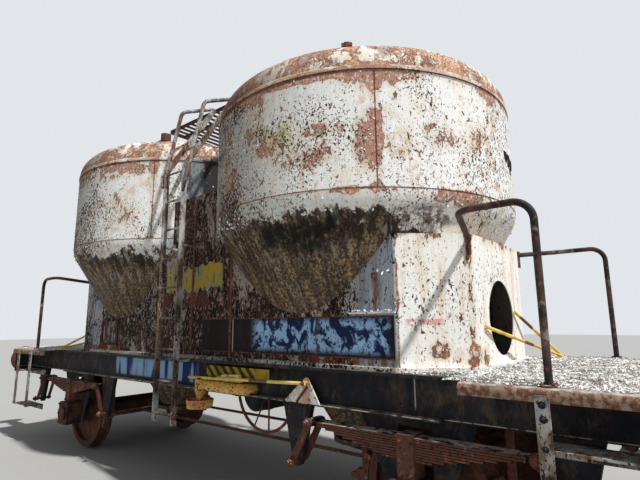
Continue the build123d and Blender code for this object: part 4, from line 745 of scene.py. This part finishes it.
# Nodes whose finish differs from the rest of their slot
OWN_FINISHES = {
    "handrails": made(rail_paint),
    "walkway": made(walkway_steel),
    "deck_plates": made(deck_dust),
    "lever_rods": made(banded_yellow),
    "end_bars": made(banded_yellow),
    "stripe_plates": made(hazard_paint),
    "lever_brackets": made(bracket_paint_sunlit),
    "placard_frames": made(placard_paint),
    "steps": FINISHES["pale_pipe"],
    "leaf_springs": made(leaf_pack_painted_light),
}


def dress_nodes():
    """Gives every node of the frame its finish."""
    for subpart in frame["record"]["subparts"]:
        shown = nodes[subpart["node"]]
        shown.data.materials.clear()
        shown.data.materials.append(OWN_FINISHES.get(subpart["node"], FINISHES[subpart["material_slot"]]))


def put_in(name, data):
    """A new object in the scene."""
    made = bpy.data.objects.new(name, data)
    bpy.context.scene.collection.objects.link(made)
    return made


class Shape:
    """One piece's mesh, gathered from simple solids in the frame's metres."""

    def __init__(self):
        self.mesh = bmesh.new()

    def box(self, centre, size, turn=None):
        place = Matrix.Translation(centre) @ (turn or Matrix.Identity(4)) @ Matrix.Diagonal((*size, 1))
        bmesh.ops.create_cube(self.mesh, size=1, matrix=place)

    def bar(self, start, end, radius, sides, end_radius=None):
        start, end = Vector(start), Vector(end)
        run = end - start
        place = Matrix.Translation((start + end) / 2) @ run.to_track_quat("Z", "Y").to_matrix().to_4x4()
        bmesh.ops.create_cone(self.mesh, cap_ends=True, segments=sides, radius1=radius,
                              radius2=end_radius or radius, depth=run.length, matrix=place)

    def nut(self, place, facing, across, height, bolt=True):
        """Hexagon nut on a washer, with the bolt's end standing out of it."""
        place, facing = Vector(place), Vector(facing).normalized()
        self.bar(place, place + facing * height * 0.2, across * 0.72, 16)
        self.bar(place, place + facing * height, across / 2, 6)
        if bolt:
            self.bar(place, place + facing * height * 1.6, across * 0.27, 8)

    def rivet(self, place, facing, radius):
        """Round rivet head."""
        place, facing = Vector(place), Vector(facing).normalized()
        shoulder = place + facing * radius * 0.35
        self.bar(place, shoulder, radius, 12, radius * 0.85)
        self.bar(shoulder, place + facing * radius * 0.6, radius * 0.85, 12, radius * 0.4)

    def tube(self, points, radius, sides, jitter=0.0):
        """Round tube along points; jitter roughens it, as a weld bead is."""
        points = [Vector(point) for point in points]
        rings = []
        for step, point in enumerate(points):
            ahead = points[min(step + 1, len(points) - 1)] - points[max(step - 1, 0)]
            turn = ahead.to_track_quat("Z", "Y").to_matrix()
            size = radius * (1 + jitter * rng.uniform(-1, 1))
            ring = [self.mesh.verts.new(point + turn @ Vector((size * cos(a), size * sin(a), 0)))
                    for a in (2 * pi * side / sides for side in range(sides))]
            rings.append(ring)
        for low, high in zip(rings, rings[1:]):
            for side in range(sides):
                after = (side + 1) % sides
                self.mesh.faces.new((low[side], low[after], high[after], high[side]))
        self.mesh.faces.new(list(reversed(rings[0])))
        self.mesh.faces.new(rings[-1])

    def flake(self, place, facing, size, lift):
        """Thin ragged flake whose corners stand off its middle by up to lift."""
        facing = Vector(facing).normalized()
        turn = facing.to_track_quat("Z", "Y").to_matrix() @ Matrix.Rotation(rng.uniform(0, 6.28), 3, "Z")
        count = rng.randint(4, 7)
        place = Vector(place)
        middle = self.mesh.verts.new(place + facing * FLAKE_OFF)
        corners = []
        for corner in range(count):
            spread = 2 * pi * (corner + rng.uniform(-0.3, 0.3)) / count
            reach = size * rng.uniform(0.5, 1.0)
            out = turn @ Vector((reach * cos(spread), reach * rng.uniform(0.5, 0.9) * sin(spread), 0))
            corners.append(self.mesh.verts.new(place + out + facing * (FLAKE_OFF + lift * rng.random())))
        for first, second in zip(corners, corners[1:] + corners[:1]):
            self.mesh.faces.new((middle, first, second))

    def piece(self, name, finish, smooth=True):
        """Turns the gathered mesh into an object that rides the wagon's body."""
        bmesh.ops.recalc_face_normals(self.mesh, faces=self.mesh.faces)
        data = bpy.data.meshes.new(name)
        self.mesh.to_mesh(data)
        self.mesh.free()
        made = put_in(name, data)
        made.data.materials.append(FINISHES[finish])
        if smooth:
            made.data.shade_smooth()
            made.data.set_sharp_from_angle(angle=radians(40))
        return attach(made, "wagon")


def weld_beads():
    """Weld beads of the tanks: the low ring seam, a ring under the crown's lip, and two upright seams."""
    for number, end in enumerate(ENDS, 1):
        beads = Shape()
        for height, radius in ((LOW_SEAM_H, 0.0036), (LIP_LOW_H, 0.0032)):
            around = [on_ring(end, turn * 2.0, height, TANK_R + 0.0005) for turn in range(181)]
            beads.tube(around, radius, 5, 0.25)
        for turn in (SEAM_ANGLE, SEAM_ANGLE + 180):
            heights = [LOW_SEAM_H + 0.92 * part / 60 for part in range(61)]
            upright = [on_ring(end, turn, height, TANK_R + 0.0005) for height in heights]
            beads.tube(upright, 0.0045, 5, 0.3)
        beads.piece(f"weld_beads_{number}", "rusty_steel")


def paint_flakes():
    """Curling flakes of paint on the rings and the facets."""
    for number, end in enumerate(ENDS, 1):
        flakes = Shape()
        for _ in range(RING_FLAKES):
            turn = rng.uniform(-180, 180)
            height = rng.uniform(1.32, 2.19)
            place = on_ring(end, turn, height, TANK_R)
            flakes.flake(place, place - on_ring(end, turn, height, 0), rng.uniform(0.005, 0.015), 0.0045)
        for _ in range(KNUCKLE_FLAKES):
            turn = rng.uniform(-180, 180)
            lean = rng.uniform(0.15, 1.0)
            height = LOW_SEAM_H - KNUCKLE_R * sin(lean)
            radius = TANK_R - KNUCKLE_R * (1 - cos(lean))
            place = on_ring(end, turn, height, radius)
            out = place - on_ring(end, turn, height, 0)
            facing = out.normalized() * cos(lean) - Vector((0, 0, sin(lean)))
            flakes.flake(place, facing, rng.uniform(0.008, 0.026), 0.012)
        for corner in flakes.mesh.verts:
            corner.co.y = max(-TANK_HIGH.y, min(TANK_HIGH.y, corner.co.y))
        flakes.piece(f"paint_flakes_{number}", "loose_paint", smooth=False)
    flakes = Shape()
    for end, side in QUARTERS:
        for _ in range(FACET_FLAKES):
            share = rng.random()
            x = SKIRT_CORNER_X + share * (SKIRT_END_X - SKIRT_CORNER_X)
            y = SKIRT_Y - share * (SKIRT_Y - 0.53)
            place = (end * x, side * y, DECK_Z + rng.uniform(0.03, 0.95))
            flakes.flake(place, (end * 0.42, side * 0.425, 0), rng.uniform(0.005, 0.014), 0.006)
    flakes.piece("paint_flakes_skirt", "loose_paint", smooth=False)


def deck_litter():
    """Fallen paint flakes on the end decks, thickest beside the end walls."""
    for number, end in enumerate(ENDS, 1):
        litter = Shape()
        for _ in range(DECK_FLAKES):
            x = DECK_START_X - 0.10 + (DECK_END_X - DECK_START_X + 0.08) * rng.random() ** 1.15
            y = rng.uniform(-1, 1) * (DECK_HALF_W - 0.04)
            facing = Vector((rng.uniform(-0.5, 0.5), rng.uniform(-0.5, 0.5), 1))
            place = (end * x, y, DECK_Z + rng.uniform(0.001, 0.007))
            litter.flake(place, facing, rng.uniform(0.005, 0.017), 0.008)
        for _ in range(CORNER_FLAKES):
            x = rng.uniform(SKIRT_CORNER_X - 0.1, DECK_START_X)
            side = rng.choice(SIDES)
            y = rng.uniform(0.62, FLANGE_Y - 0.02)
            if x > SKIRT_CORNER_X + (SKIRT_Y - y) + 0.06:
                facing = (rng.uniform(-0.3, 0.3), rng.uniform(-0.3, 0.3), 1)
                litter.flake((end * x, side * y, DECK_Z + 0.002), facing, rng.uniform(0.004, 0.014), 0.006)
        litter.piece(f"deck_litter_{number}", "loose_paint", smooth=False)


def leaf_plates():
    """The spring leaves' edges, standing a little proud of the packs, with grooves between them."""
    plates = Shape()
    outer_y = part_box("leaf_springs")[1].y
    for end, side in QUARTERS:
        for layer in range(LEAF_COUNT):
            half_l = LEAF_LONGEST - LEAF_STEP * max(0, layer - 1)
            height = LEAF_TOP - (layer + 0.5) * LEAF_T
            size = (2 * half_l, LEAF_W + 0.006, LEAF_T - 0.0050)
            plates.box((end * AXLE_X, side * (outer_y - LEAF_W / 2), height), size)
    plates.piece("leaf_plates", "rusty_steel", smooth=False)


def running_gear_bolts():
    """Nuts and bolt heads of the links, spring buckles, axle boxes and guards."""
    nuts = Shape()
    link_pins = ((0.808, 0.882), (0.977, 0.582))
    link_y, hanger_y, buckle_y, box_y, cover_y, guard_y = 1.100, 1.022, 1.074, 1.112, 1.134, 0.934
    for end, side in QUARTERS:
        out = (0, side, 0)
        for way in ENDS:
            for reach, z in link_pins:
                nuts.nut((end * AXLE_X + way * reach, side * link_y, z), out, 0.052, 0.022)
            for z in (0.93, 0.965):
                for shift in (-0.08, 0.08):
                    place = (end * AXLE_X + way * link_pins[1][0] + shift, side * hanger_y, z)
                    nuts.rivet(place, out, 0.014)
        for x, z in ((-0.036, 0.66), (0.036, 0.66), (-0.036, 0.86), (0.036, 0.86)):
            nuts.nut((end * AXLE_X + x, side * buckle_y, z), out, 0.026, 0.012)
        for x in (-0.098, 0.098):
            for z in (-0.112, 0.112):
                nuts.nut((end * AXLE_X + x, side * box_y, AXLE_Z + z), out, 0.030, 0.014)
        for turn in range(6):
            angle = pi * turn / 3
            place = (end * AXLE_X + 0.074 * cos(angle), side * cover_y, AXLE_Z + 0.074 * sin(angle))
            nuts.nut(place, out, 0.020, 0.010, bolt=False)
        for x in (-0.36, -0.24, -0.12, 0, 0.12, 0.24, 0.36):
            nuts.rivet((end * AXLE_X + x, side * guard_y, 1.040), out, 0.012)
    nuts.piece("running_gear_bolts", "rusty_steel")


def frame_bolts():
    """Rivets of the sole bars, headstocks, buffer and hook plates, steps and ladder stays."""
    bolts = Shape()
    step_y, web_y, stay_y = 1.252, 0.980, 1.225
    for end, side in QUARTERS:
        out = (end, 0, 0)
        outer = (0, side, 0)
        plate_x = end * (HEAD_X + 0.020)
        for y in (-0.12, 0.12):
            for z in (-0.12, 0.12):
                bolts.nut((plate_x, side * BUFFER_Y + y, BUFFER_Z + z), out, 0.034, 0.016)
        for x in (3.42, 3.88):
            for z in (1.13, 1.20):
                bolts.nut((end * x, side * step_y, z), outer, 0.026, 0.012)
            for z in (0.52, 0.99):
                bolts.nut((end * x, side * step_y, z), outer, 0.022, 0.010)
        for z in (HEAD_LOW + 0.05, HEAD_LOW + 0.28):
            for y in (0.42, 0.56, 1.12):
                bolts.rivet((end * HEAD_X, side * y, z), out, 0.013)
        for x in (2.86, 3.10, 3.34, 3.58, 3.82, 4.02):
            for z in (1.04, 1.17):
                bolts.rivet((end * x, side * web_y, z), outer, 0.012)
        for x in (0.16, -0.16):
            bolts.nut((x, side * stay_y, 1.27), outer, 0.024, 0.010)
        for z in (-0.075, 0.075):
            bolts.nut((plate_x, side * 0.125, BUFFER_Z + z), out, 0.034, 0.016)
    bolts.piece("frame_bolts", "frame_paint")


def skirt_trim():
    """Mouldings of the skirt: the number band's edges, a ledge over it, a rust-stained stub."""
    trim = Shape()
    for way in ENDS:
        for height in BAND_EDGES_H:
            trim.box((way * 1.30, -way * (SKIRT_Y + 0.004), DECK_Z + height), (2.20, 0.005, 0.007))
        trim.box((way * 2.255, -way * (SKIRT_Y + 0.012), DECK_Z + 0.68), (0.036, 0.024, 0.040))
        for x in (0.0, 0.62, -0.62):
            trim.box((way * x, -way * (SKIRT_Y + 0.003), DECK_Z + 0.833), (0.030, 0.006, 1.60))
    trim.piece("skirt_trim", "rusty_steel", smooth=False)
    ledges = Shape()
    for way in ENDS:
        for x, half_w in ((2.10, 0.09), (2.25, 0.07), (2.37, 0.05)):
            ledges.box((way * x, -way * (SKIRT_Y + 0.006), DECK_Z + 0.408), (2 * half_w, 0.014, 0.012))
        for _ in range(LEDGE_FLAKES):
            x = way * rng.uniform(2.0, 2.42)
            place = (x, -way * (SKIRT_Y + 0.012), DECK_Z + 0.413 + rng.uniform(0, 0.016))
            ledges.flake(place, (0, -way, rng.uniform(0.0, 1.5)), rng.uniform(0.006, 0.016), 0.006)
        for x in (2.29, 2.33, 2.38):
            place = (way * x, -way * (SKIRT_Y + 0.010), DECK_Z + 0.70 + rng.uniform(-0.01, 0.01))
            ledges.flake(place, (0, -way, 0.8), 0.024, 0.012)
    ledges.piece("paint_ledges", "loose_paint", smooth=False)


def rail_fittings():
    """Foot flanges of the handrails with their nuts, and the plates that hold their ends to the walls."""
    fittings = Shape()
    plate_x, plate_y = 2.824, 0.560
    for end, side in QUARTERS:
        foot = Vector((end * RAIL_FOOT_X, side * RAIL_FOOT_Y, DECK_Z))
        fittings.bar(foot, foot + Vector((0, 0, 0.010)), 0.055, 20)
        for turn in range(4):
            angle = pi * (turn + 0.5) / 2
            out = Vector((0.041 * cos(angle), 0.041 * sin(angle), 0.010))
            fittings.nut(foot + out, (0, 0, 1), 0.018, 0.009)
        plate = Vector((end * plate_x, side * plate_y, SKIRT_TOP - 0.085))
        turn = Matrix.Rotation(-end * side * radians(45), 4, "Z")
        fittings.box(plate, (0.014, 0.060, 0.150), turn)
    fittings.piece("rail_fittings", "rusty_steel")


def air_line():
    """Brake pipe along the frame, with a cock at each end."""
    line = Shape()
    pipe_z, pipe_y = 1.16, -0.42
    stations = (-HEAD_X + 0.02, -3.0, -2.9, 2.9, 3.0, HEAD_X - 0.02)
    line.tube([(x, pipe_y, pipe_z) for x in stations], 0.016, 10)
    for end in ENDS:
        line.bar((end * HEAD_X, pipe_y, pipe_z), (end * (HEAD_X + 0.05), pipe_y, pipe_z), 0.024, 12)
        line.bar((end * (HEAD_X + 0.05), pipe_y, pipe_z), (end * (HEAD_X + 0.12), pipe_y, pipe_z), 0.034, 14)
        line.box((end * (HEAD_X + 0.085), pipe_y, pipe_z + 0.05), (0.022, 0.12, 0.010))
    line.piece("air_line", "rusty_steel")


def side_gear():
    """Stays of the guard hoops, the slanted rods in the brackets, and pins of the lever gear."""
    gear = Shape()
    hoop_y, rod_y, eye_y, valve_top = -1.060, -0.905, -1.124, 1.108
    for way in ENDS:
        def turned(x, y, z):
            return (way * x, way * y, z)
        gear.bar(turned(1.688, hoop_y, 1.142), turned(1.574, hoop_y, 1.020), 0.010, 10)
        gear.bar(turned(1.021, rod_y, 0.900), turned(0.930, rod_y, 0.735), 0.007, 8)
        gear.bar(turned(1.107, rod_y, 1.000), turned(1.109, rod_y, 0.720), 0.008, 8)
        gear.bar(turned(0.86, rod_y, 1.000), turned(1.20, rod_y, 1.000), 0.012, 10)
        gear.nut(turned(1.69, eye_y, 1.166), (0, -way, 0), 0.026, 0.012)
    gear.piece("side_gear", "rusty_steel")
    valve = Shape()
    for way in ENDS:
        centre = Vector((way * VALVE_X, -way * VALVE_Y, 0))
        cap = centre + Vector((0, 0, valve_top))
        valve.bar(cap, cap + Vector((0, 0, 0.020)), 0.030, 12)
        for turn in range(4):
            angle = pi * (turn + 0.5) / 2
            out = Vector((0.112 * cos(angle), 0.112 * sin(angle), 0.937))
            valve.rivet(centre + out, (0, 0, 1), 0.010)
    valve.piece("valve_trim", "rusty_steel")


def tank_fittings():
    """Small lug on each crown, and in each ring a torn pocket drawn as flat flakes of painted shade."""
    lugs = Shape()
    turn = Matrix.Rotation(radians(LUG_TURN), 4, "Z")
    for end in ENDS:
        place = on_ring(end, LUG_ANGLE + half_round(end), LUG_Z - DECK_Z, LUG_R)
        lugs.box(place + Vector((0, 0, 0.012)), (0.085, 0.035, 0.030), turn)
        lugs.box(place + Vector((0, 0, 0.028)), (0.040, 0.030, 0.016), turn)
    lugs.piece("crown_lugs", "rusty_steel", smooth=False)
    pocket = Shape()
    for end in ENDS:
        for turn, height, size in TORN_SPOTS:
            turn += half_round(end)
            place = on_ring(end, turn, height, TANK_R + FLAKE_OFF)
            pocket.flake(place, place - on_ring(end, turn, height, 0), size, 0.004)
    pocket.piece("torn_pocket_shade", "hole_painted_shade", smooth=False)


def make_floor():
    """Pale floor under the wheels."""
    bpy.ops.mesh.primitive_plane_add(size=120)
    floor = bpy.context.object
    floor.name = "stage_floor"
    ground = Graph("stage_floor")
    mottled = ground.mix(ground.noise(0.6, 3, 0.5), FLOOR_TONE, FLOOR_PATCH_TONE)
    floor.data.materials.append(ground.finish(mottled, 0.9))


def make_world():
    """Pale world: as bright as it is where it is seen or mirrored, and dimmer as a light."""
    world = bpy.data.worlds.new("pale_world")
    bpy.context.scene.world = world
    world.use_nodes = True
    tree = world.node_tree
    backdrop = tree.nodes["Background"]
    backdrop.inputs["Color"].default_value = tone(*SKY_TONE)
    path = tree.nodes.new("ShaderNodeLightPath")
    strength = tree.nodes.new("ShaderNodeMapRange")
    strength.inputs["To Min"].default_value = WORLD_STRENGTH
    strength.inputs["To Max"].default_value = 1.0
    seen = tree.nodes.new("ShaderNodeMath")
    seen.operation = "MAXIMUM"
    tree.links.new(path.outputs["Is Camera Ray"], seen.inputs[0])
    tree.links.new(path.outputs["Is Glossy Ray"], seen.inputs[1])
    tree.links.new(seen.outputs[0], strength.inputs["Value"])
    tree.links.new(strength.outputs[0], backdrop.inputs["Strength"])


def make_sun():
    """One sun that throws hard shadows."""
    sun = put_in("sun", bpy.data.lights.new("sun", "SUN"))
    sun.data.energy = SUN_STRENGTH
    sun.data.angle = radians(SUN_ANGLE)
    sun.rotation_euler = Vector(SUN_FROM).to_track_quat("Z", "Y").to_euler()


def make_camera():
    """The photograph's camera."""
    lens = bpy.data.cameras.new("camera")
    lens.lens = CAMERA_LENS
    lens.sensor_width = SENSOR_W
    camera = put_in("camera", lens)
    turn = Matrix.Rotation(radians(CAMERA_YAW), 4, "Z")
    turn = turn @ Matrix.Rotation(radians(90 + CAMERA_PITCH), 4, "X")
    turn = turn @ Matrix.Rotation(radians(CAMERA_ROLL), 4, "Z")
    camera.matrix_world = Matrix.Translation(CAMERA_PLACE) @ turn
    bpy.context.scene.camera = camera


dress_nodes()
weld_beads()
paint_flakes()
deck_litter()
leaf_plates()
running_gear_bolts()
frame_bolts()
skirt_trim()
rail_fittings()
air_line()
side_gear()
tank_fittings()
make_floor()
make_world()
make_sun()
make_camera()
bpy.context.scene.view_settings.view_transform = "Standard"
